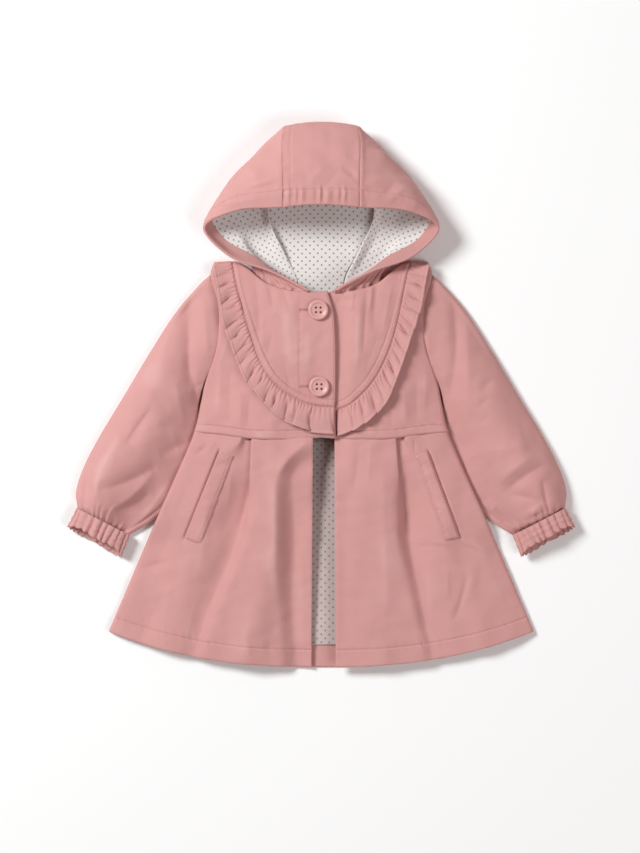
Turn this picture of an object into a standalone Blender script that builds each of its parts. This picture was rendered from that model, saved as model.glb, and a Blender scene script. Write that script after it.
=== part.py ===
"""A toddler's hooded A-line coat, lying open-hemmed on its back.

Each piece that is cut and sewn is its own object: skirt, bodice and yoke panels, the ruffle in the
yoke's seam, pocket welts, sleeves with gathered cuffs, a three-panel hood with its lining, and the
two buttons.  Every panel is a grid shaped by a form function and thickened to its cloth.

Plan sizes are in millimetres: X to the right as the coat is looked at, Y towards the hood, Z up from
the surface it lies on.  "right" and "left" in names are the wearer's, so right is at -X.
"""
import math

import bmesh
import bpy
from mathutils import Vector

MM = 0.001

# ---------------------------------------------------------------- driving sizes (mm)
CLOTH = 1.3                 # outer cloth, two layers pressed together
THIN_CLOTH = 1.1            # ruffle, welts and lining
SEAM = 0.3                  # clearance between neighbouring pieces
BENT_SEAM = 0.9             # the same where the walls meet at a bend
MIRROR = 2.5                # x of a point on the left is MIRROR minus its x on the right
ORIGIN = Vector((MIRROR / 2.0, 0.0, 0.0))   # the plan's point that the coat's origin lies at
HEM_DEPTH = 17.0            # turned-up hem of the fronts
BACK_HEM_DEPTH = 20.0       # turned-up hem of the back, seen in the front gap
HEM_LOW = -272.5            # hem line at the centre
HEM_SWEEP = 36.0            # how far the hem rises by the side seams
HEM_HALF = 214.0
EDGE_ROLL = 3.0             # height of the rounded fold along the side seams
EDGE_WIDTH = 4.0
BODY_SWELL = 82.0           # distance in which the front reaches its full height
SHOULDER_Y = 135.0          # where the front rolls over to the back at the shoulders
SHOULDER_ROLL = 42.0
YOKE_STEP = 2.0             # the yoke's face above the bodice's
UNDERLAP = 3.9              # the left front lies this much lower under the right one
UNDERLAP_EDGE = -5.0
SLEEVE_LIFT = 8.0           # the side seams lie over the sleeves' inner edges
BUTTON_RADIUS = 10.0
BUTTON_THICK = 3.4
BUTTON_PLACES = ((-1.7, 84.8), (-0.8, 8.3))
BUTTON_HOLE = 1.15
BUTTON_HOLE_SPREAD = 3.25   # from the button's centre

# ---------------------------------------------------------------- outline of the right half (mm)
# body edge: y, x, front height there (armhole down to the underarm, then the side seam)
BODY_EDGE = (
    (134.0, -105.5, 4.0),
    (120.0, -109.5, 9.0),
    (92.0, -102.0, 14.0),
    (63.0, -101.0, 16.5),
    (43.0, -104.0, 16.5),
    (25.0, -110.0, 15.0),
    (8.0, -115.5, 13.0),
    (-8.0, -118.5, 11.5),
    (-37.0, -125.5, 10.0),
    (-120.0, -162.0, 10.0),
    (-165.0, -181.4, 3.0),
    (-237.0, -212.0, 3.0),
    (-275.0, -228.0, 3.0),
)
# height of the front along the middle of the coat: y, height
FRONT_HEIGHT = (
    (134.0, 21.0),
    (103.0, 23.0),
    (60.0, 25.0),
    (10.0, 26.0),
    (-44.0, 25.0),
    (-110.0, 20.5),
    (-190.0, 15.5),
    (-275.0, 12.0),
)
WAIST = ((-125.5, -37.0), (-101.0, -39.0), (-71.0, -43.2), (-38.0, -44.3), (-14.0, -43.4), (16.0, -41.0))
YOKE_SEAM_RIGHT = ((-88.5, 133.5), (-87.0, 126.0), (-82.0, 102.0), (-72.0, 67.0), (-63.0, 40.0),
                   (-51.0, 18.0), (-36.0, 3.5), (-18.0, -7.0), (-5.0, -11.0), (14.5, -12.5))
YOKE_SEAM_LEFT = ((90.5, 133.5), (89.0, 127.0), (82.5, 96.0), (76.0, 66.0), (66.0, 37.0),
                  (52.0, 12.0), (31.0, -9.0), (16.0, -15.5), (-5.0, -18.0))
YOKE_CORNER_RIGHT = 0.865   # share of the seam where the yoke's side becomes its bottom edge
YOKE_CORNER_LEFT = 0.80
RUFFLE_LEFT_END = 0.885      # share of the left seam that shows beside the right front's edge
RUFFLE_EDGE_RIGHT = ((-106.5, 129.5), (-102.5, 107.0), (-99.0, 86.0), (-96.0, 69.0), (-85.0, 40.0),
                     (-77.0, 20.0), (-59.0, -4.0), (-37.0, -25.0), (-18.0, -33.0), (-8.0, -37.0),
                     (13.5, -39.5))
RUFFLE_EDGE_LEFT = ((109.0, 129.5), (104.5, 106.0), (101.5, 88.0), (94.0, 66.0), (87.0, 45.0),
                    (78.0, 20.0), (66.0, -8.0), (49.0, -25.0), (31.0, -36.0), (16.5, -41.0))
NECKLINE_RIGHT = ((-88.5, 133.5), (-76.0, 129.5), (-55.0, 113.0), (-32.0, 105.0), (-10.0, 103.4),
                  (7.5, 104.0))
NECKLINE_LEFT = ((90.5, 133.5), (78.5, 129.5), (57.5, 112.0), (34.5, 104.5), (14.0, 103.0),
                 (-5.0, 103.0))
FRONT_EDGE = ((7.5, 104.0), (14.0, 79.0), (15.5, 15.0), (14.5, -12.5))
BACK_NECK = ((-80.0, 133.0), (-62.0, 118.0), (-40.0, 105.0), (-18.0, 99.5), (1.25, 98.0))

# skirt fronts: x of the front edge at waist and hem, then the pleat's line as y, x
SKIRT_EDGE_RIGHT = (-7.0, -8.5)
SKIRT_EDGE_LEFT = (14.5, 15.7)
PLEAT_RIGHT = ((-44.0, -68.0), (-108.0, -72.0), (-160.0, -86.0), (-207.0, -106.0), (-272.0, -128.0))
PLEAT_LEFT = ((-44.0, 75.5), (-108.0, 80.5), (-141.0, 84.5), (-205.0, 98.0), (-272.0, 112.0))
# a pleat's fold from its front side outwards, in three states down its length: at the waist it is
# folded, below it parts, and then it lies open; distances run towards the front edge
PLEAT_FOLD = (
    # folded, drop, parted, drop, open, drop
    (9.0, 0.0, 11.0, 0.0, 16.0, 0.0),
    (1.4, 0.1, 3.6, 0.4, 11.0, 0.2),
    (-0.4, 0.9, 1.0, 1.6, 8.0, 0.7),
    (-0.5, 2.3, 0.2, 3.1, 5.0, 1.5),
    (0.9, 3.2, 0.4, 4.3, 2.0, 2.3),
    (6.4, 3.5, 0.9, 5.3, -1.0, 2.9),
    (6.9, 4.4, 0.2, 6.3, -4.0, 3.0),
    (0.5, 4.9, -2.4, 6.9, -8.0, 2.7),
    (-6.0, 4.7, -8.0, 6.6, -14.0, 2.0),
)
PLEAT_PARTS = (-75.0, -95.0)        # y from which, and by which, the fold parts
PLEAT_OPENS = (-98.0, -121.0)       # and opens
PLEAT_FLATTENS = (-130.0, -190.0)   # and lies flat
PLEAT_VALLEY = 4.6                  # depth and half width of the trough below it
PLEAT_VALLEY_WIDTH = 17.0
# soft folds of the skirt: side, y top, y bottom, x top, x bottom, half width, height
SKIRT_FOLDS = (
    ("right", -40.0, -272.0, -26.0, -74.0, 17.0, 4.0),
    ("right", -60.0, -290.0, -8.0, -22.0, 26.0, -5.0),
    ("right", -150.0, -300.0, -165.0, -185.0, 14.0, -2.2),
    ("left", -50.0, -290.0, 48.0, 58.0, 20.0, 1.6),
    ("left", -120.0, -290.0, 134.0, 156.0, 16.0, -2.4),
    ("left", -60.0, -300.0, 108.0, 178.0, 13.0, 1.8),
)
# pocket welts: four plan corners, top outer, top inner, bottom inner, bottom outer
WELT_RIGHT = ((-100.3, -56.2), (-86.0, -60.3), (-119.7, -149.4), (-135.1, -143.0))
WELT_LEFT = ((107.7, -56.5), (95.6, -61.2), (125.2, -145.7), (139.8, -142.7))

# the right sleeve's top edge from the shoulder to the underarm, which is tucked below the side seam
ARMHOLE = ((-110.0, 120.5, 9.0), (-102.6, 92.0, 14.0), (-101.8, 63.0, 16.5), (-104.8, 43.0, 16.5),
           (-110.8, 25.0, 14.5), (-115.6, 12.0, 11.0), (-117.2, 3.0, 6.4), (-113.5, -6.0, 4.4),
           (-108.0, -14.0, 4.0))
# sleeves (right one): plan of the outer and the inner edge, and its height along the length
SLEEVE_OUTER = ((-110.0, 120.5), (-118.5, 113.0), (-143.0, 85.0), (-169.0, 45.0), (-199.0, -5.0),
                (-223.0, -45.0), (-238.0, -75.0), (-244.5, -97.0), (-243.0, -113.0))
SLEEVE_INNER = ((-108.0, -14.0), (-112.0, -35.0), (-122.0, -62.0), (-135.0, -90.0), (-150.0, -110.0),
                (-168.0, -126.0), (-190.5, -140.0))
SLEEVE_HEIGHT = ((0.0, 17.0), (0.25, 22.0), (0.55, 25.0), (0.8, 25.0), (0.93, 22.0), (1.0, 17.0))
SLEEVE_CREST = 0.36         # share of the width, from the outer edge, where the sleeve is highest
SLEEVE_EDGE = 2.6           # half thickness of its folded edges
SLEEVE_TURN = (0.0, 1.2, 3.4, 7.5)  # stations round such an edge
# soft folds along a sleeve: start and end as (along, across), half width in mm, height
SLEEVE_FOLDS = (
    ((0.55, 0.30), (0.99, 0.45), 11.0, 2.6),
    ((0.62, 0.62), (0.97, 0.70), 10.0, -2.4),
    ((0.70, 0.12), (0.99, 0.22), 8.0, -1.8),
    ((0.15, 0.55), (0.55, 0.75), 15.0, -2.2),
)
GATHERS_AT_CUFF = 9.0       # gathers over the sleeve's width
GATHER_HEIGHT = 1.6
CUFF_MOUTH = ((-253.0, -133.0), (-199.5, -162.5))
CUFF_HEIGHT = 19.0
CUFF_RIBS = 21
CUFF_RIB = 1.1
CUFF_SETBACK = 5.5          # how far the upper edge of the mouth lies behind the lower one

# ---------------------------------------------------------------- hood, right side panel (mm)
# ribs run from the crown seam over the side to the neck seam; the first is the face edge
HOOD_RIBS = (
    # seam, crown, side
    # under, low, neck
    ((-37.0, 187.0, 51.0), (-84.0, 184.0, 42.0), (-116.5, 167.5, 27.0),
     (-91.0, 138.5, 23.5), (-50.0, 122.5, 26.0), (-13.0, 104.5, 26.5)),
    ((-37.0, 203.0, 53.0), (-84.0, 197.0, 42.0), (-114.0, 177.0, 20.0),
     (-97.0, 150.0, 15.0), (-58.0, 130.0, 19.0), (-26.0, 106.5, 21.5)),
    ((-37.5, 226.0, 50.0), (-78.0, 216.0, 36.0), (-104.0, 194.0, 14.0),
     (-97.0, 165.0, 9.0), (-69.0, 141.0, 12.0), (-45.0, 112.4, 17.5)),
    ((-38.0, 252.0, 38.0), (-66.0, 238.0, 25.0), (-88.0, 215.0, 11.0),
     (-88.0, 184.0, 4.5), (-76.0, 152.0, 7.0), (-61.0, 122.0, 11.5)),
    ((-36.5, 268.0, 20.0), (-60.0, 243.0, 8.0), (-74.0, 210.0, 2.0),
     (-73.0, 182.0, 0.0), (-70.0, 153.0, 1.2), (-67.0, 126.0, 6.5)),
    ((-50.0, 228.0, 0.0), (-61.0, 206.0, 0.0), (-64.0, 184.0, 0.0),
     (-62.0, 163.0, 0.0), (-58.0, 142.0, 0.0), (-56.0, 117.5, 1.0)),
    ((-53.0, 176.0, 0.0), (-53.0, 166.0, 0.0), (-51.5, 154.0, 0.0),
     (-48.0, 141.0, 0.0), (-45.0, 127.0, 0.0), (-41.0, 108.8, 0.5)),
    ((-24.0, 121.0, 0.0), (-23.0, 117.4, 0.0), (-22.0, 113.7, 0.0),
     (-21.0, 110.0, 0.0), (-20.0, 106.2, 0.0), (-19.0, 102.4, 0.0)),
)
# outward bulge of the centre panel between its seams, rib by rib
GUSSET_BULGE = ((0.0, 2.5, 3.0), (0.0, 1.0, 3.0), (0.0, 1.0, 3.0), (0.0, 2.5, 2.0), (0.0, 4.0, 0.0),
                (0.0, 0.0, 0.0), (0.0, 0.0, 0.0), (0.0, 0.0, 0.0))
FACE_HEM = 1.0 / 7.0        # share of the ribs taken by the turned-in face hem
LIP = CLOTH + SEAM + THIN_CLOTH
NAPE = 0.12                 # share that the centre panel runs on, down the last rib to the neck seam
CROWN_INSET = 1.5           # the centre panel stops this far inside the side panels' crown seams
LINING_INSET = 3.2          # and its lining this far

# a ruffle wave: share of the seam, height and lean along the seam
RUFFLE_WAVES_RIGHT = (
    (6, 4.2, 1.0), (7, 3.4, -0.8), (8, 4.6, 1.2), (6, 3.2, 0.6),
    (9, 5.0, -1.0), (7, 3.8, 1.0), (8, 4.4, 0.8), (7, 3.4, -0.6),
    (9, 4.8, 1.2), (7, 3.6, 0.8), (8, 4.6, -1.0), (6, 3.2, 0.8),
    (8, 4.8, 1.2), (7, 3.6, 0.8), (9, 4.4, -0.6), (14, 2.2, 0.0),
)
RUFFLE_WAVES_LEFT = (
    (7, 4.4, -1.0), (6, 3.2, 0.8), (8, 4.8, 1.0), (7, 3.6, -0.8),
    (8, 4.6, 1.0), (6, 3.4, 0.6), (9, 5.0, -1.2), (7, 3.8, 0.8),
    (8, 4.2, 1.0), (7, 3.4, -0.6), (9, 4.8, 1.0), (7, 3.6, -0.8),
    (8, 4.4, 1.0), (8, 3.2, 0.6), (10, 2.6, 0.0),
)

# colours of the cloth (linear): pink twill, its paler buttons, and the dotted lining's ground
PINK = (0.73, 0.39, 0.37)
BUTTON_PINK = (0.78, 0.47, 0.43)
LINING = (0.83, 0.78, 0.75)


# ---------------------------------------------------------------- curves and blends
def mix(a, b, share):
    return a + (b - a) * share


def ramp(low, high, at):
    """0 at low, 1 at high, smooth between."""
    share = min(max((at - low) / (high - low), 0.0), 1.0)
    return share * share * (3.0 - 2.0 * share)


def quarter(share):
    """A quarter of an ellipse: steep at 0, level at 1."""
    rest = 1.0 - min(max(share, 0.0), 1.0)
    return math.sqrt(1.0 - rest * rest)


def through(stations, values, at):
    """A smooth curve through values at rising stations; level beyond its ends."""
    at = min(max(at, stations[0]), stations[-1])
    last = len(stations) - 2
    span = next((i for i in range(last) if at <= stations[i + 1]), last)

    def slope(i):
        before = max(i - 1, 0)
        after = min(i + 1, last + 1)
        return (values[after] - values[before]) / (stations[after] - stations[before])

    width = stations[span + 1] - stations[span]
    t = (at - stations[span]) / width
    rise = values[span + 1] - values[span]
    blend = values[span] + rise * (t * t * (3.0 - 2.0 * t))
    start = slope(span) * width * (t * (1.0 - t) * (1.0 - t))
    end = slope(span + 1) * width * (t * t * (t - 1.0))
    return blend + start + end


def by_level(table, column):
    """Read one column of a table whose first column falls from row to row."""
    rows = sorted(table, key=lambda row: row[0])
    levels = [row[0] for row in rows]
    values = [row[column] for row in rows]
    return lambda level: through(levels, values, level)


def path(points):
    """A smooth plan curve through the points, by the share of its length."""
    knots = [Vector(point) for point in points]
    lengths = [0.0]
    for a, b in zip(knots, knots[1:]):
        lengths.append(lengths[-1] + (b - a).length)
    stations = [length / lengths[-1] for length in lengths]
    return lambda share: through(stations, knots, share)


def mirrored(points):
    return tuple((MIRROR - point[0],) + tuple(point[1:]) for point in points)


def evenly(count, low=0.0, high=1.0):
    return [mix(low, high, i / count) for i in range(count + 1)]


# ---------------------------------------------------------------- the lie of the coat
edge_x = by_level(BODY_EDGE, 1)
armhole_height = by_level(BODY_EDGE, 2)
middle_height = by_level(FRONT_HEIGHT, 1)


def from_side(x, y):
    """Distance inwards from the nearer side seam or armhole."""
    return min(x, MIRROR - x) - edge_x(y)


def back_lift(x, y):
    """Height of the back's underside: 0, but over the sleeves' inner edges by the side seams."""
    band = (1.0 - ramp(4.0, 24.0, y)) * ramp(-160.0, -118.0, y)
    return SLEEVE_LIFT * band * (1.0 - ramp(13.0, 46.0, from_side(x, y)))


def edge_height(y):
    resting = back_lift(edge_x(y), y) + CLOTH + 1.3 * BENT_SEAM
    return mix(resting, armhole_height(y), ramp(-22.0, -8.0, y))


def front_surface(x, y):
    """Height of the front's outer face over a plan point."""
    inwards = max(from_side(x, y), 0.0)
    edge = edge_height(y)
    roll = EDGE_ROLL * (1.0 - ramp(-22.0, 0.0, y))
    swell = math.sin(math.pi / 2.0 * min(inwards / BODY_SWELL, 1.0))
    shoulder = quarter((SHOULDER_Y - y) / SHOULDER_ROLL)
    return edge + roll * quarter(inwards / EDGE_WIDTH) + (middle_height(y) - edge - roll) * swell * shoulder


def underlap(side, x):
    """How much lower the left front lies where the right one covers it."""
    return UNDERLAP * (1.0 - ramp(17.5, 34.0, x)) if side == "left" else 0.0


def bodice_surface(side, x, y):
    return front_surface(x, y) - underlap(side, x)


# ---------------------------------------------------------------- building
def finish(name, colour, roughness=0.85):
    material = bpy.data.materials.new(name)
    material.use_nodes = True
    shader = material.node_tree.nodes["Principled BSDF"]
    shader.inputs["Base Color"].default_value = (*colour, 1.0)
    shader.inputs["Roughness"].default_value = roughness
    shader.inputs["Metallic"].default_value = 0.0
    return material


def keep(obj, group, material):
    for collection in list(obj.users_collection):
        collection.objects.unlink(obj)
    group.objects.link(obj)
    obj.data.materials.append(material)


def panel(name, us, vs, place, group, material, wall=CLOTH, thickness=None, ring=False, flip=False):
    """A grid laid at place(u, v) in mm, thickened on its inner side.

    thickness(u, v) gives the wall as a share of `wall`; a ring closes on itself along u.
    """
    columns = len(us) - 1
    rows = len(vs) - 1
    shape = bmesh.new()
    bmesh.ops.create_grid(shape, x_segments=columns, y_segments=rows, size=0.5)
    deform = shape.verts.layers.deform.verify()
    for vert in shape.verts:
        u = us[round((vert.co.x + 0.5) * columns)]
        v = vs[round((vert.co.y + 0.5) * rows)]
        vert[deform][0] = thickness(u, v) if thickness else 1.0
        vert.co = (Vector(place(u, v)) - ORIGIN) * MM
    if ring:
        bmesh.ops.remove_doubles(shape, verts=shape.verts, dist=0.00001)
    if flip:
        bmesh.ops.reverse_faces(shape, faces=shape.faces)
    mesh = bpy.data.meshes.new(name)
    shape.to_mesh(mesh)
    shape.free()
    mesh.shade_smooth()
    obj = bpy.data.objects.new(name, mesh)
    obj.vertex_groups.new(name="wall")
    solid = obj.modifiers.new("cloth", "SOLIDIFY")
    solid.thickness = wall * MM
    solid.offset = -1.0
    solid.vertex_group = "wall"
    keep(obj, group, material)
    return obj


# ---------------------------------------------------------------- skirt
def waist_y(x):
    nearer = min(x, MIRROR - x) if x > MIRROR / 2.0 else x
    return through([p[0] for p in WAIST], [p[1] for p in WAIST], nearer)


def hem_y(x):
    return HEM_LOW + HEM_SWEEP * (abs(x - MIRROR / 2.0) / HEM_HALF) ** 2.4


SIDE_TOP = -37.3
SIDE_FOOT = -236.5
HEM_LINE = 1.0 - HEM_DEPTH / 229.0
BACK_HEM_LINE = 1.0 - BACK_HEM_DEPTH / 229.0
BACK_ACROSS = [0.0, 0.012, 0.05, 0.1, 0.17, 0.28, 0.4, 0.5, 0.6, 0.72, 0.83, 0.9, 0.95, 0.988, 1.0]
SKIRT_ROWS = [0.0, 0.05, 0.13, 0.23, 0.34, 0.45, 0.57, 0.69, 0.81, HEM_LINE - 0.004, HEM_LINE, 1.0]
# columns of a skirt front: shares from the front edge to the pleat, then from the pleat to the side
FRONT_SHARES = (0.0, 0.1, 0.25, 0.42, 0.6, 0.8)
SIDE_SHARES = (0.25, 0.5, 0.75, 0.9, 0.97, 0.992, 1.0)


def skirt_columns():
    columns = [("front", share) for share in FRONT_SHARES]
    columns += [("pleat", station) for station in range(len(PLEAT_FOLD))]
    columns += [("side", share) for share in SIDE_SHARES]
    return columns


def skirt_x(side, column, v):
    """Plan x of a column at the share v of the skirt's length, and its drop below the panel."""
    sign = 1.0 if side == "left" else -1.0
    edge = mix(*(SKIRT_EDGE_LEFT if side == "left" else SKIRT_EDGE_RIGHT), v)
    level = mix(-44.0, HEM_LOW, v)
    pleat = by_level(PLEAT_LEFT if side == "left" else PLEAT_RIGHT, 1)(level)
    parted = 1.0 - ramp(PLEAT_PARTS[1], PLEAT_PARTS[0], level)
    opened = 1.0 - ramp(PLEAT_OPENS[1], PLEAT_OPENS[0], level)
    step = ramp(PLEAT_FLATTENS[1], PLEAT_FLATTENS[0], level)
    seam = edge_x(mix(SIDE_TOP, SIDE_FOOT, v))
    seam = MIRROR - seam if side == "left" else seam

    def station(row):
        away = mix(mix(row[0], row[2], parted), row[4], opened)
        drop = mix(mix(row[1], row[3], parted), row[5], opened)
        return pleat - sign * away, drop * step

    kind, value = column
    if kind == "pleat":
        return station(PLEAT_FOLD[value])
    if kind == "front":
        return mix(edge, station(PLEAT_FOLD[0])[0], value), 0.0
    start, drop = station(PLEAT_FOLD[-1])
    return mix(start, seam, value), drop * (1.0 - ramp(0.0, 0.6, value))


def skirt_surface(side, x, y):
    """Height of a skirt front with its soft folds."""
    height = front_surface(x, y)
    settle = 1.0 - ramp(-75.0, -38.0, y)
    for fold_side, top, foot, x_top, x_foot, width, rise in SKIRT_FOLDS:
        if fold_side == side:
            share = (y - top) / (foot - top)
            centre = mix(x_top, x_foot, share)
            along = ramp(0.0, 0.25, share)
            height += rise * along * math.exp(-((x - centre) / width) ** 2)
    pleat = by_level(PLEAT_LEFT if side == "left" else PLEAT_RIGHT, 1)(y)
    outwards = (x - pleat) if side == "left" else (pleat - x)
    depth = PLEAT_VALLEY * ramp(-60.0, -125.0, y) * (1.0 - 0.55 * ramp(-215.0, -275.0, y))
    height -= depth * math.exp(-((outwards - 6.0) / PLEAT_VALLEY_WIDTH) ** 2)
    fade = ramp(0.0, 16.0, from_side(x, y))
    return mix(front_surface(x, y), height, fade * settle) - underlap(side, x) * ramp(-95.0, -50.0, y)


def skirt_point(side, column, v):
    top_x = skirt_x(side, column, 0.0)[0]
    foot_x = skirt_x(side, column, 1.0)[0]
    x, drop = skirt_x(side, column, v)
    y = mix(waist_y(top_x) - SEAM, hem_y(foot_x), v)
    return x, y, skirt_surface(side, x, y) - drop


def hem_wall(v, line, thin, thick):
    return thick if v >= line - 0.001 else thin


def build_skirt(group, pink, lining):
    columns = skirt_columns()
    for side in ("right", "left"):
        panel(f"skirt_front_{side}", columns, SKIRT_ROWS,
              lambda column, v, side=side: skirt_point(side, column, v), group, pink, wall=CLOTH * 1.6,
              thickness=lambda column, v: hem_wall(v, HEM_LINE, 1.0 / 1.6, 1.0), flip=side == "left")

    def back_point(u, v):
        level = mix(SIDE_TOP, SIDE_FOOT, v)
        x = mix(edge_x(level), MIRROR - edge_x(level), u)
        top_x = mix(edge_x(SIDE_TOP), MIRROR - edge_x(SIDE_TOP), u)
        foot_x = mix(edge_x(SIDE_FOOT), MIRROR - edge_x(SIDE_FOOT), u)
        y = mix(waist_y(top_x) - SEAM, hem_y(foot_x), v)
        return Vector((x, y, back_lift(x, y)))

    rows = [0.0, 0.1, 0.25, 0.4, 0.5, 0.6, 0.72, BACK_HEM_LINE - 0.004, BACK_HEM_LINE, 1.0]
    thick = CLOTH + SEAM + THIN_CLOTH

    def back_wall(u, v):
        middle = 0.02 < u < 0.98
        return hem_wall(v, BACK_HEM_LINE, CLOTH / thick, 1.0) if middle else CLOTH / thick

    panel("skirt_back", BACK_ACROSS, rows, back_point, group, pink, wall=thick, thickness=back_wall)
    lift = Vector((0.0, 0.0, CLOTH + SEAM))
    panel("skirt_back_lining", BACK_ACROSS[2:-2], rows[:7] + [BACK_HEM_LINE - 0.008],
          lambda u, v: back_point(u, v) + lift, group, lining, wall=THIN_CLOTH)


# ---------------------------------------------------------------- bodice and yoke
def seam_of(side):
    return path(YOKE_SEAM_LEFT if side == "left" else YOKE_SEAM_RIGHT)


def bodice_outline(side, s):
    """Armhole and side seam down to the waist, then along the waist to the front edge."""
    corner = 0.5
    if s <= corner:
        y = mix(133.0, SIDE_TOP + SEAM, s / corner)
        x = edge_x(y) + (SEAM if y > -8.0 else 0.0)
    else:
        end = 15.5 if side == "right" else MIRROR - UNDERLAP_EDGE
        x = mix(edge_x(SIDE_TOP), end, (s - corner) / (1.0 - corner))
        y = waist_y(x if side == "right" else MIRROR - x)
    return Vector((MIRROR - x if side == "left" else x, y))


def bodice_point(side, s, across):
    share = mix(0.0, 0.66, s / 0.5) if s <= 0.5 else mix(0.66, 1.0, (s - 0.5) / 0.5)
    inner = seam_of(side)(share)
    x, y = mix(inner, bodice_outline(side, s), across)
    return x, y, bodice_surface(side, x, y)


def yoke_surface(side, x, y):
    return bodice_surface(side, x, y) + YOKE_STEP


def yoke_point(side, u, v):
    """u from the seam's side to the front edge, v from the neckline to the seam's bottom."""
    seam = seam_of(side)
    corner = YOKE_CORNER_LEFT if side == "left" else YOKE_CORNER_RIGHT
    neck = path(NECKLINE_LEFT if side == "left" else NECKLINE_RIGHT)
    if side == "left":
        foot_x = UNDERLAP_EDGE
        front = mix(Vector((foot_x, 103.0)), Vector((foot_x, -18.0)), v)
        ends = (Vector((foot_x, 103.0)), Vector((foot_x, -18.0)))
    else:
        front = path(FRONT_EDGE)(v)
        ends = (Vector(FRONT_EDGE[0]), Vector(FRONT_EDGE[-1]))
    top = neck(u)
    foot = seam(mix(corner, 1.0, u))
    outer = seam(corner * v)
    flat = mix(mix(seam(0.0), ends[0], u), mix(seam(corner), ends[1], u), v)
    spot = mix(top, foot, v) + mix(outer, front, u) - flat
    return spot.x, spot.y, yoke_surface(side, spot.x, spot.y)


def seam_direction(seam, share):
    return (seam(min(share + 0.01, 1.0)) - seam(max(share - 0.01, 0.0))).normalized()


def ruffle_point(side, s, across, waves):
    """s along the seam, across from the seam to the free edge, with the wave's lift and lean."""
    seam = seam_of(side)
    share = s if side == "right" else s * RUFFLE_LEFT_END
    along = seam_direction(seam, share)
    clear = Vector((along.y, -along.x)) * (SEAM * 1.6 if side == "left" else -SEAM * 1.6)
    base = seam(share) - clear
    total = sum(wave[0] for wave in waves)
    reached = 0.0
    for width, height, lean in waves:
        if s * total <= reached + width + 1e-6:
            phase = (s * total - reached) / width
            break
        reached += width
    crest = 0.5 - 0.5 * math.cos(2.0 * math.pi * phase)
    outer = path(RUFFLE_EDGE_LEFT if side == "left" else RUFFLE_EDGE_RIGHT)(s)
    plan = mix(base, outer, across * (1.0 - 0.05 * crest))
    plan += along * lean * math.sin(2.0 * math.pi * phase) * across
    lift = height * crest * across ** 0.8
    x, y = plan
    return x, y, bodice_surface(side, x, y) + 2.0 * SEAM + THIN_CLOTH + lift


def build_bodice(group, pink):
    outline = evenly(11, 0.0, 0.5) + evenly(9, 0.5, 1.0)[1:]
    for side in ("right", "left"):
        turned = side == "left"
        panel(f"bodice_front_{side}", outline, [0.0, 0.15, 0.4, 0.68, 0.9, 1.0],
              lambda s, across, side=side: bodice_point(side, s, across), group, pink, flip=not turned)
        panel(f"yoke_{side}", evenly(9), evenly(11),
              lambda u, v, side=side: yoke_point(side, u, v), group, pink, flip=not turned)
        waves = RUFFLE_WAVES_LEFT if turned else RUFFLE_WAVES_RIGHT
        along = [0.0]
        total = sum(wave[0] for wave in waves)
        for width, _, _ in waves:
            along += [along[-1] + width / total * step / 5.0 for step in (1, 2, 3, 4, 5)]
        along[-1] = 1.0
        panel(f"ruffle_{side}", along, [0.0, 0.3, 0.65, 1.0],
              lambda s, across, side=side, waves=waves: ruffle_point(side, s, across, waves),
              group, pink, wall=THIN_CLOTH, flip=not turned)

    shoulder = ((-105.0, 133.5),) + BACK_NECK
    top = path(shoulder + tuple(reversed(mirrored(shoulder)[:-1])))

    def back_point(u, v):
        y = mix(SIDE_TOP + SEAM, 133.0, v)
        reach = edge_x(y) + 4.0 * BENT_SEAM * ramp(-20.0, 0.0, y)
        across = mix(reach, MIRROR - reach, u)
        level = mix(waist_y(across), y, v)
        foot = waist_y(mix(edge_x(SIDE_TOP), MIRROR - edge_x(SIDE_TOP), u))
        x = mix(across, mix(across, top(u).x, v), v * v)
        return x, mix(level, mix(foot, top(u).y, v), v), back_lift(x, level)

    panel("bodice_back", BACK_ACROSS, [0.0, 0.1, 0.2, 0.35, 0.55, 0.78, 1.0], back_point, group, pink,
          flip=True)


def build_welts(group, pink):
    for side, corners in (("right", WELT_RIGHT), ("left", WELT_LEFT)):
        top_out, top_in, foot_in, foot_out = [Vector(corner) for corner in corners]

        def welt_point(u, v, side=side):
            spot = mix(mix(top_out, top_in, u), mix(foot_out, foot_in, u), v)
            return spot.x, spot.y, skirt_surface(side, spot.x, spot.y) + BENT_SEAM + THIN_CLOTH

        panel(f"pocket_welt_{side}", [0.0, 0.5, 1.0], evenly(9), welt_point, group, pink,
              wall=THIN_CLOTH, flip=side == "right")


# ---------------------------------------------------------------- sleeves and cuffs
def sleeve_plan(s, v):
    """Plan point at the share s from the outer to the inner edge and v along the sleeve."""
    spot = mix(path(SLEEVE_OUTER)(v), path(SLEEVE_INNER)(v), s)
    start = mix(Vector(SLEEVE_OUTER[0]), Vector(SLEEVE_INNER[0]), s)
    return spot + (path(ARMHOLE)(s).xy - start) * (1.0 - ramp(0.0, 0.35, v))


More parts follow.
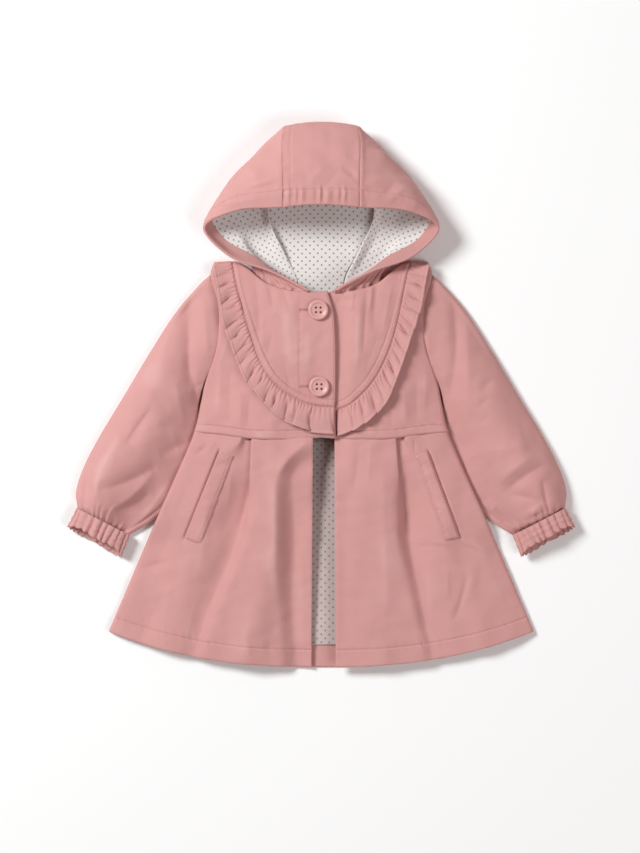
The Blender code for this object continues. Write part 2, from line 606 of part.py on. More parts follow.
def sleeve_top(s, v, width):
    """Height of the upper layer."""
    height = through([row[0] for row in SLEEVE_HEIGHT], [row[1] for row in SLEEVE_HEIGHT], v)
    if s < SLEEVE_CREST:
        profile = math.sin(math.pi / 2.0 * s / SLEEVE_CREST) ** 0.8
    else:
        profile = 0.5 + 0.5 * math.cos(math.pi * (s - SLEEVE_CREST) / (1.0 - SLEEVE_CREST))
    edge = min(s, 1.0 - s) * width
    z = SLEEVE_EDGE * (1.0 + quarter(edge / SLEEVE_TURN[2])) + (height - 2.0 * SLEEVE_EDGE) * profile
    for start, end, half, rise in SLEEVE_FOLDS:
        share = (v - start[0]) / (end[0] - start[0])
        if 0.0 < share < 1.0 and 0.0 < s < 1.0:
            centre = mix(start[1], end[1], share)
            soft = ramp(0.0, 0.12, s) * ramp(1.0, 0.88, s)
            z += rise * soft * math.sin(math.pi * share) * math.exp(-((s - centre) * width / half) ** 2)
    gather = ramp(0.84, 1.0, v) * ramp(0.0, 0.08, s) * ramp(1.0, 0.92, s)
    z += GATHER_HEIGHT * gather * math.cos(2.0 * math.pi * GATHERS_AT_CUFF * s)
    shoulder = 1.0 - ramp(0.0, 0.22, v)
    armhole = mix(SLEEVE_EDGE, path(ARMHOLE)(s).z, quarter(edge / SLEEVE_TURN[2]))
    return mix(z, armhole, shoulder)


def sleeve_point(station, v):
    """A station is a layer, a share of the width and millimetres added to it."""
    layer, share, offset = station
    width = (path(SLEEVE_OUTER)(v) - path(SLEEVE_INNER)(v)).length
    s = min(max(share + offset / width, 0.0), 1.0)
    plan = sleeve_plan(s, v)
    if layer == "top":
        z = sleeve_top(s, v, width)
    else:
        z = SLEEVE_EDGE * (1.0 - quarter(min(s, 1.0 - s) * width / SLEEVE_TURN[2]))
    return plan.x, plan.y, z


def cuff_point(station, v, first, mouth):
    """Around the cuff by angle, v from its seam to its mouth."""
    angle = 2.0 * math.pi * station
    half = 0.5 - 0.5 * math.cos(angle)
    rise = math.sin(angle)
    rib = CUFF_RIB * (0.5 + 0.5 * rise) * math.cos(CUFF_RIBS * angle) * (0.55 + 0.45 * v)
    seam_spot = mix(Vector(first[0]), Vector(first[1]), half)
    axis = (mix(Vector(mouth[0]), Vector(mouth[1]), half) - seam_spot)
    setback = CUFF_SETBACK * ramp(-0.6, 1.0, rise) / axis.length
    across = (Vector(first[1]) - Vector(first[0])).normalized()
    spot = seam_spot + axis * v * (1.0 - setback) - across * rib * math.cos(angle)
    z = CUFF_HEIGHT / 2.0 * (1.0 + rise) + rib * rise * (1.0 if rise > 0.0 else 0.0)
    return spot.x, spot.y, max(z, 0.0)


def build_sleeves(group, pink):
    tops = [(0.0, mm) for mm in SLEEVE_TURN] + [(share, 0.0) for share in evenly(16, 0.16, 0.84)]
    tops += [(1.0, -mm) for mm in reversed(SLEEVE_TURN)]
    under = [(1.0, -mm) for mm in SLEEVE_TURN[1:]] + [(0.7, 0.0), (0.3, 0.0)]
    under += [(0.0, mm) for mm in reversed(SLEEVE_TURN)]
    around = [("top", *place) for place in tops] + [("under", *place) for place in under]
    rows = [0.0, 0.07, 0.16, 0.28, 0.42, 0.56, 0.69, 0.8, 0.88, 0.94, 1.0]
    ends = [Vector(SLEEVE_OUTER[-1]), Vector(SLEEVE_INNER[-1])]
    across = (ends[1] - ends[0]).normalized()
    outwards = Vector((across.y, -across.x))
    first = [end + outwards * SEAM * 1.5 for end in ends]
    for side in ("right", "left"):
        turned = side == "left"

        def place(station, v, turned=turned):
            x, y, z = sleeve_point(station, v)
            return (MIRROR - x if turned else x), y, z

        def cuff_place(station, v, turned=turned):
            x, y, z = cuff_point(station, v, first, CUFF_MOUTH)
            return (MIRROR - x if turned else x), y, z

        panel(f"sleeve_{side}", around, rows, place, group, pink, ring=True, flip=not turned)
        panel(f"cuff_{side}", evenly(CUFF_RIBS * 3), [0.0, 0.5, 1.0], cuff_place, group, pink,
              wall=CLOTH, ring=True, flip=not turned)


# ---------------------------------------------------------------- hood
def hood_side(t, w):
    """A point of the right side panel: t from the face edge back, w from the crown seam to the neck."""
    count = len(HOOD_RIBS) - 1
    ribs = [i / count for i in range(count + 1)]
    stations = evenly(len(HOOD_RIBS[0]) - 1)
    rows = [through(stations, [Vector(point) for point in rib], w) for rib in HOOD_RIBS]
    spot = through(ribs, rows, t)
    spot.z = max(spot.z, 0.0)
    return spot


def crown_seam(share):
    """The right crown seam: over the ribs' ends, and from 1 on down the last rib to the neck seam."""
    return hood_side(min(share, 1.0), max(share - 1.0, 0.0) / NAPE)


def hood_centre(u, share, inset=CROWN_INSET):
    """u from the right to the left crown seam, share from the brim over the top fold to the nape."""
    right = crown_seam(share) + Vector((inset, 0.0, 0.0))
    left = Vector((MIRROR - right.x, right.y, right.z))
    bulge = through(evenly(len(GUSSET_BULGE) - 1), [Vector(row) for row in GUSSET_BULGE], min(share, 1.0))
    return mix(right, left, u) + bulge * 4.0 * u * (1.0 - u)


def inwards(obj, depth):
    """Move a panel's cage inwards before its wall is added, so that it lines a neighbour."""
    move = obj.modifiers.new("inwards", "DISPLACE")
    move.direction = "NORMAL"
    move.mid_level = 0.0
    move.strength = -depth * MM
    while obj.modifiers[0] != move:
        obj.modifiers.move(obj.modifiers.find(move.name), 0)


def build_hood(group, pink, lining):
    backs = [0.0, 0.07, FACE_HEM - 0.003, FACE_HEM + 0.003, FACE_HEM + 0.04, 0.25, 0.32, 0.4, 0.48, 0.55,
             0.62, 0.7, 0.8, 0.9, 1.0]
    downs = [0.0, 0.03] + evenly(11)[1:]

    def face_hem(t):
        return 1.0 if t < FACE_HEM else CLOTH / LIP

    lining_backs = backs[4:]
    lining_downs = downs[1:]
    for side in ("right", "left"):
        turned = side == "left"

        def place(t, w, turned=turned):
            spot = hood_side(t, w)
            return Vector((MIRROR - spot.x if turned else spot.x, spot.y, spot.z))

        panel(f"hood_side_{side}", backs, downs, place, group, pink, wall=LIP,
              thickness=lambda t, w: face_hem(t), flip=turned)
        inner = panel(f"hood_lining_{side}", lining_backs, lining_downs, place, group, lining,
                      wall=THIN_CLOTH, flip=turned)
        inwards(inner, CLOTH + BENT_SEAM)

    nape = [1.0 + NAPE / 2.0, 1.0 + NAPE]
    panel("hood_centre", evenly(5), backs + nape, hood_centre, group, pink, wall=LIP,
          thickness=lambda u, share: face_hem(share))
    inner = panel("hood_lining_centre", evenly(5), lining_backs + nape,
                  lambda u, share: hood_centre(u, share, LINING_INSET), group, lining, wall=THIN_CLOTH)
    inwards(inner, CLOTH + BENT_SEAM)


# ---------------------------------------------------------------- buttons
def turned_profile(name, profile, group, material, location, steps=20):
    """A closed profile of (radius, height) turned about Z."""
    mesh = bpy.data.meshes.new(name)
    points = [(radius * MM, 0.0, height * MM) for radius, height in profile]
    mesh.from_pydata(points, [(i, i + 1) for i in range(len(points) - 1)], [])
    obj = bpy.data.objects.new(name, mesh)
    obj.location = location
    screw = obj.modifiers.new("turn", "SCREW")
    screw.steps = steps
    screw.render_steps = steps
    screw.use_merge_vertices = True
    screw.merge_threshold = 0.00001
    keep(obj, group, material)
    return obj


def build_buttons(group, cutters, material):
    rim = BUTTON_RADIUS
    top = BUTTON_THICK
    profile = ((0.0, top - 1.3), (rim * 0.5, top - 1.2), (rim * 0.66, top - 0.5), (rim * 0.8, top),
               (rim * 0.93, top - 0.35), (rim, top - 1.3), (rim * 0.96, 0.6), (rim * 0.8, 0.0), (0.0, 0.0))
    for name, (x, y) in zip(("button_upper", "button_lower"), BUTTON_PLACES):
        seat = yoke_surface("right", x, y) + SEAM + 0.3
        centre = Vector((x, y, seat)) - ORIGIN
        button = turned_profile(name, profile, group, material, centre * MM)
        for index in range(4):
            angle = math.radians(45.0 + 90.0 * index)
            aside = Vector((math.cos(angle), math.sin(angle), 0.0)) * BUTTON_HOLE_SPREAD
            bpy.ops.mesh.primitive_cylinder_add(vertices=8, radius=BUTTON_HOLE * MM,
                                                depth=BUTTON_THICK * 3.0 * MM,
                                                location=(centre + aside) * MM)
            cutter = bpy.context.object
            cutter.name = f"{name}_hole_{index + 1}"
            cutter.hide_render = True
            cutter.display_type = "WIRE"
            keep(cutter, cutters, material)
            cut = button.modifiers.new("hole", "BOOLEAN")
            cut.operation = "DIFFERENCE"
            cut.object = cutter


def main():
    for obj in list(bpy.data.objects):
        bpy.data.objects.remove(obj, do_unlink=True)
    coat = bpy.data.collections.new("parka")
    cutters = bpy.data.collections.new("cutters")
    for collection in (coat, cutters):
        bpy.context.scene.collection.children.link(collection)
    pink = finish("pink_twill", PINK)
    lining = finish("dotted_lining", LINING)
    button = finish("button_pink", BUTTON_PINK, 0.45)
    build_skirt(coat, pink, lining)
    build_bodice(coat, pink)
    build_welts(coat, pink)
    build_sleeves(coat, pink)
    build_hood(coat, pink, lining)
    build_buttons(coat, cutters, button)


main()
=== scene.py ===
"""A toddler's hooded coat in dusty-pink twill, laid flat on its back.

Every sewn piece is a thin shell of cloth on the form of its panel: a grid moved by form functions, with
its creases, gathers, seams and hems, then thickened.  Plan sizes are in millimetres: X to the right as
the coat is looked at, Y towards the hood, Z up from the surface.  "right" and "left" are the wearer's.
"""
import math

import bpy
import numpy as np
from mathutils import Matrix, Vector
from mathutils.bvhtree import BVHTree


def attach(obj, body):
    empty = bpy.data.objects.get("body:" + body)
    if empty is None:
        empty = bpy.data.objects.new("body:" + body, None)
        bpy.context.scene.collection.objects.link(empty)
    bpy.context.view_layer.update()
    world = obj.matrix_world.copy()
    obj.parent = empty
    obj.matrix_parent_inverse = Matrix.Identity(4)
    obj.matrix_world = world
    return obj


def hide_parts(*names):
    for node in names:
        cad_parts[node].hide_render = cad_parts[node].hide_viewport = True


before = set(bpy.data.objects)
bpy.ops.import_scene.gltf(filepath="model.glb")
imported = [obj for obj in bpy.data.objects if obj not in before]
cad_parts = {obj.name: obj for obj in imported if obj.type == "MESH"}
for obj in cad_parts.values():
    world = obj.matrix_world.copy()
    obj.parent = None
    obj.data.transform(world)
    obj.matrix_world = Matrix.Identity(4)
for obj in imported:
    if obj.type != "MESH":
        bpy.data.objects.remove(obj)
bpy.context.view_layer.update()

bl_info = {
    "name": "Toddler's Hooded Coat",
    "version": (1, 0, 0),
    "blender": (4, 5, 0),
    "location": "3D View > Sidebar > Coat",
    "description": "Builds a hooded coat with a ruffled yoke, laid flat",
    "category": "Add Mesh",
}

MM = 0.001
SIDES = ("right", "left")

# ---------------------------------------------------------------- driving sizes (mm)
CLOTH = 1.3                 # room that the back's cloth takes
SEAM_ROOM = 0.9             # clearance of a lining or an edge that lies on the next layer
MIRROR = 2.5                # x of a point on the left is MIRROR minus its x on the right
ORIGIN = np.array((MIRROR / 2.0, 0.0, 0.0))
WALL = 0.85                 # thickness of the cloth that shows
HEM_DEPTH = 17.3            # stitch line of the fronts above their lower edge
BACK_HEM_DEPTH = 21.0
HEM_LOW = -272.5
HEM_SWEEP = 36.0
HEM_HALF = 214.0
EDGE_ROLL = 3.0
EDGE_WIDTH = 4.0
BODY_SWELL = 82.0
SHOULDER_Y = 135.0
SHOULDER_ROLL = 42.0
YOKE_STEP = 2.0
UNDERLAP = 3.9
UNDERLAP_EDGE = -5.0
SLEEVE_LIFT = 8.0
SIDE_TOP = -37.3
SIDE_FOOT = -236.5
SKIRT_LENGTH = 229.0

# body edge: y, x, front height there
BODY_EDGE = (
    (134.0, -105.5, 4.0), (120.0, -109.5, 9.0), (92.0, -102.0, 14.0), (63.0, -101.0, 16.5),
    (43.0, -104.0, 16.5), (25.0, -110.0, 15.0), (8.0, -115.5, 13.0), (-8.0, -118.5, 11.5),
    (-37.0, -125.5, 10.0), (-120.0, -162.0, 10.0), (-165.0, -181.4, 3.0), (-237.0, -212.0, 3.0),
    (-275.0, -228.0, 3.0),
)
# height of the front along the middle: y, height
FRONT_HEIGHT = ((134.0, 21.0), (103.0, 23.0), (60.0, 25.0), (10.0, 26.0), (-44.0, 25.0),
                (-110.0, 20.5), (-190.0, 15.5), (-275.0, 12.0))
WAIST = ((-125.5, -37.0), (-101.0, -39.0), (-71.0, -43.2), (-38.0, -44.3), (-14.0, -43.4), (16.0, -41.0))
YOKE_SEAM = {
    "right": ((-88.5, 133.5), (-87.0, 126.0), (-82.0, 102.0), (-72.0, 67.0), (-63.0, 40.0),
              (-51.0, 18.0), (-36.0, 3.5), (-18.0, -7.0), (-5.0, -11.0), (14.5, -12.5)),
    "left": ((90.5, 133.5), (89.0, 127.0), (82.5, 96.0), (76.0, 66.0), (66.0, 37.0),
             (52.0, 12.0), (31.0, -9.0), (16.0, -15.5), (-5.0, -18.0)),
}
YOKE_CORNER = {"right": 0.865, "left": 0.80}
RUFFLE_EDGE = {
    "right": ((-106.5, 129.5), (-102.5, 107.0), (-99.0, 86.0), (-96.0, 69.0), (-85.0, 40.0),
              (-77.0, 20.0), (-59.0, -4.0), (-37.0, -25.0), (-18.0, -33.0), (-8.0, -37.0), (13.5, -39.5)),
    "left": ((109.0, 129.5), (104.5, 106.0), (101.5, 88.0), (94.0, 66.0), (87.0, 45.0),
             (78.0, 20.0), (66.0, -8.0), (49.0, -25.0), (31.0, -36.0), (16.5, -41.0)),
}
RUFFLE_END = {"right": 1.0, "left": 0.885}
NECKLINE = {
    "right": ((-88.5, 133.5), (-76.0, 129.5), (-55.0, 113.0), (-32.0, 105.0), (-10.0, 103.4), (7.5, 104.0)),
    "left": ((90.5, 133.5), (78.5, 129.5), (57.5, 112.0), (34.5, 104.5), (14.0, 103.0), (-5.0, 103.0)),
}
FRONT_EDGE = ((7.5, 104.0), (14.0, 79.0), (15.5, 15.0), (14.5, -12.5))
BACK_NECK = ((-105.0, 133.5), (-80.0, 133.0), (-62.0, 118.0), (-40.0, 105.0), (-18.0, 99.5), (1.25, 98.0))

# skirt fronts: x of the front edge at waist and hem, then the pleat's line as y, x
SKIRT_EDGE = {"right": (-7.0, -8.5), "left": (14.5, 15.7)}
PLEAT = {
    "right": ((-44.0, -68.0), (-108.0, -72.0), (-160.0, -86.0), (-207.0, -106.0), (-272.0, -128.0)),
    "left": ((-44.0, 75.5), (-108.0, 80.5), (-141.0, 84.5), (-205.0, 98.0), (-272.0, 112.0)),
}
# the fold in its three states down its length: distance and drop, folded, parted and open
PLEAT_FOLD = (
    (9.0, 0.0, 11.0, 0.0, 16.0, 0.0),
    (1.4, 0.1, 3.6, 0.4, 11.0, 0.2),
    (-0.4, 0.9, 1.0, 1.6, 8.0, 0.7),
    (-0.5, 2.3, 0.2, 3.1, 5.0, 1.5),
    (0.9, 3.2, 0.4, 4.3, 2.0, 2.3),
    (6.4, 3.5, 0.9, 5.3, -1.0, 2.9),
    (6.9, 4.4, 0.2, 6.3, -4.0, 3.0),
    (0.5, 4.9, -2.4, 6.9, -8.0, 2.7),
    (-6.0, 4.7, -8.0, 6.6, -14.0, 2.0),
)
# y between which a pleat's fold parts from its underlay, opens and flattens
PLEAT_PARTS = (-80.0, -110.0)
PLEAT_OPENS = (-118.0, -160.0)
PLEAT_FLATTENS = (-140.0, -200.0)
PLEAT_VALLEY = 6.6          # depth of the hollow beside the fold
PLEAT_VALLEY_WIDTH = 17.0
# the skirt's broad folds: y top, y bottom, x top, x bottom, half width, height
SKIRT_FOLDS = {
    "right": ((-40.0, -272.0, -26.0, -74.0, 17.0, 4.0), (-60.0, -290.0, -8.0, -22.0, 24.0, -2.5),
              (-150.0, -300.0, -165.0, -185.0, 14.0, -2.2)),
    "left": ((-50.0, -290.0, 48.0, 58.0, 20.0, 1.6), (-120.0, -290.0, 134.0, 156.0, 16.0, -2.4),
             (-60.0, -300.0, 108.0, 178.0, 13.0, 1.8)),
}
# pocket welts: top outer, top inner, bottom inner, bottom outer
WELT = {
    "right": ((-100.3, -56.2), (-86.0, -60.3), (-119.7, -149.4), (-135.1, -143.0)),
    "left": ((107.7, -56.5), (95.6, -61.2), (125.2, -145.7), (139.8, -142.7)),
}

# the right sleeve's top edge from the shoulder to the underarm, and its outer and inner edges
ARMHOLE = ((-110.0, 120.5, 9.0), (-102.6, 92.0, 14.0), (-101.8, 63.0, 16.5), (-104.8, 43.0, 16.5),
           (-110.8, 25.0, 14.5), (-115.6, 12.0, 11.0), (-117.2, 3.0, 6.4), (-113.5, -6.0, 4.4),
           (-108.0, -14.0, 4.0))
SLEEVE_OUTER = ((-110.0, 120.5), (-118.5, 113.0), (-143.0, 85.0), (-169.0, 45.0), (-199.0, -5.0),
                (-223.0, -45.0), (-238.0, -75.0), (-244.5, -97.0), (-243.0, -113.0))
SLEEVE_INNER = ((-108.0, -14.0), (-112.0, -35.0), (-122.0, -62.0), (-135.0, -90.0), (-150.0, -110.0),
                (-168.0, -126.0), (-190.5, -140.0))
SLEEVE_HEIGHT = ((0.0, 17.0), (0.25, 22.0), (0.55, 25.0), (0.8, 25.0), (0.93, 22.0), (1.0, 17.0))
SLEEVE_CREST = 0.36         # share across the sleeve, where it is highest
SLEEVE_EDGE = 2.6           # height of the sleeve's edges
SLEEVE_TURN = 3.4           # width in which the cloth turns round them
GATHERS_AT_CUFF = 9.0       # folds across the sleeve that the cuff draws together
CUFF_MOUTH = ((-253.0, -133.0), (-199.5, -162.5))
CUFF_HEIGHT = 19.0
CUFF_RIBS = 21
CUFF_RIB = 1.1              # depth of a rib
CUFF_SETBACK = 5.5          # of the mouth's upper layer behind its lower one

# hood, right side panel: ribs from the crown seam over the side to the neck seam, face edge first
HOOD_RIBS = (
    # seam, crown, side
    # under, low, neck
    ((-37.0, 187.0, 51.0), (-84.0, 184.0, 42.0), (-116.5, 167.5, 27.0),
     (-91.0, 138.5, 23.5), (-50.0, 122.5, 26.0), (-13.0, 104.5, 26.5)),
    ((-37.0, 203.0, 53.0), (-84.0, 197.0, 42.0), (-114.0, 177.0, 20.0),
     (-97.0, 150.0, 15.0), (-58.0, 130.0, 19.0), (-26.0, 106.5, 21.5)),
    ((-37.5, 226.0, 50.0), (-78.0, 216.0, 36.0), (-104.0, 194.0, 14.0),
     (-97.0, 165.0, 9.0), (-69.0, 141.0, 12.0), (-45.0, 112.4, 17.5)),
    ((-38.0, 252.0, 38.0), (-66.0, 238.0, 25.0), (-88.0, 215.0, 11.0),
     (-88.0, 184.0, 4.5), (-76.0, 152.0, 7.0), (-61.0, 122.0, 11.5)),
    ((-36.5, 268.0, 20.0), (-60.0, 243.0, 8.0), (-74.0, 210.0, 2.0),
     (-73.0, 182.0, 0.0), (-70.0, 153.0, 1.2), (-67.0, 126.0, 6.5)),
    ((-50.0, 228.0, 0.0), (-61.0, 206.0, 0.0), (-64.0, 184.0, 0.0),
     (-62.0, 163.0, 0.0), (-58.0, 142.0, 0.0), (-56.0, 117.5, 1.0)),
    ((-53.0, 176.0, 0.0), (-53.0, 166.0, 0.0), (-51.5, 154.0, 0.0),
     (-48.0, 141.0, 0.0), (-45.0, 127.0, 0.0), (-41.0, 108.8, 0.5)),
    ((-24.0, 121.0, 0.0), (-23.0, 117.4, 0.0), (-22.0, 113.7, 0.0),
     (-21.0, 110.0, 0.0), (-20.0, 106.2, 0.0), (-19.0, 102.4, 0.0)),
)
GUSSET_BULGE = ((0.0, 2.5, 3.0), (0.0, 1.0, 3.0), (0.0, 1.0, 3.0), (0.0, 2.5, 2.0), (0.0, 4.0, 0.0),
                (0.0, 0.0, 0.0), (0.0, 0.0, 0.0), (0.0, 0.0, 0.0))
FACE_HEM = 1.0 / 7.0
NAPE = 0.12                 # share that the centre panel runs on, down to the neck seam
LIP_RADIUS = 1.2            # of the cloth's turn round the face edge
LINING_DEPTH = 1.9          # of the lining's face below the hood's outer face

# ruffle waves: share of the seam, height, lean along the seam
RUFFLE_WAVES = {
    "right": ((6, 4.2, 1.0), (7, 3.4, -0.8), (8, 4.6, 1.2), (6, 3.2, 0.6), (9, 5.0, -1.0), (7, 3.8, 1.0),
              (8, 4.4, 0.8), (7, 3.4, -0.6), (9, 4.8, 1.2), (7, 3.6, 0.8), (8, 4.6, -1.0), (6, 3.2, 0.8),
              (8, 4.8, 1.2), (7, 3.6, 0.8), (9, 4.4, -0.6), (14, 2.2, 0.0)),
    "left": ((7, 4.4, -1.0), (6, 3.2, 0.8), (8, 4.8, 1.0), (7, 3.6, -0.8), (8, 4.6, 1.0), (6, 3.4, 0.6),
             (9, 5.0, -1.2), (7, 3.8, 0.8), (8, 4.2, 1.0), (7, 3.4, -0.6), (9, 4.8, 1.0), (7, 3.6, -0.8),
             (8, 4.4, 1.0), (8, 3.2, 0.6), (10, 2.6, 0.0)),
}
BUTTON_PLACES = {"button_upper": (-1.7, 84.8), "button_lower": (-0.8, 8.3)}
BUTTON_RADIUS = 10.0
BUTTON_SEAT = 0.6           # of a button's back over the yoke

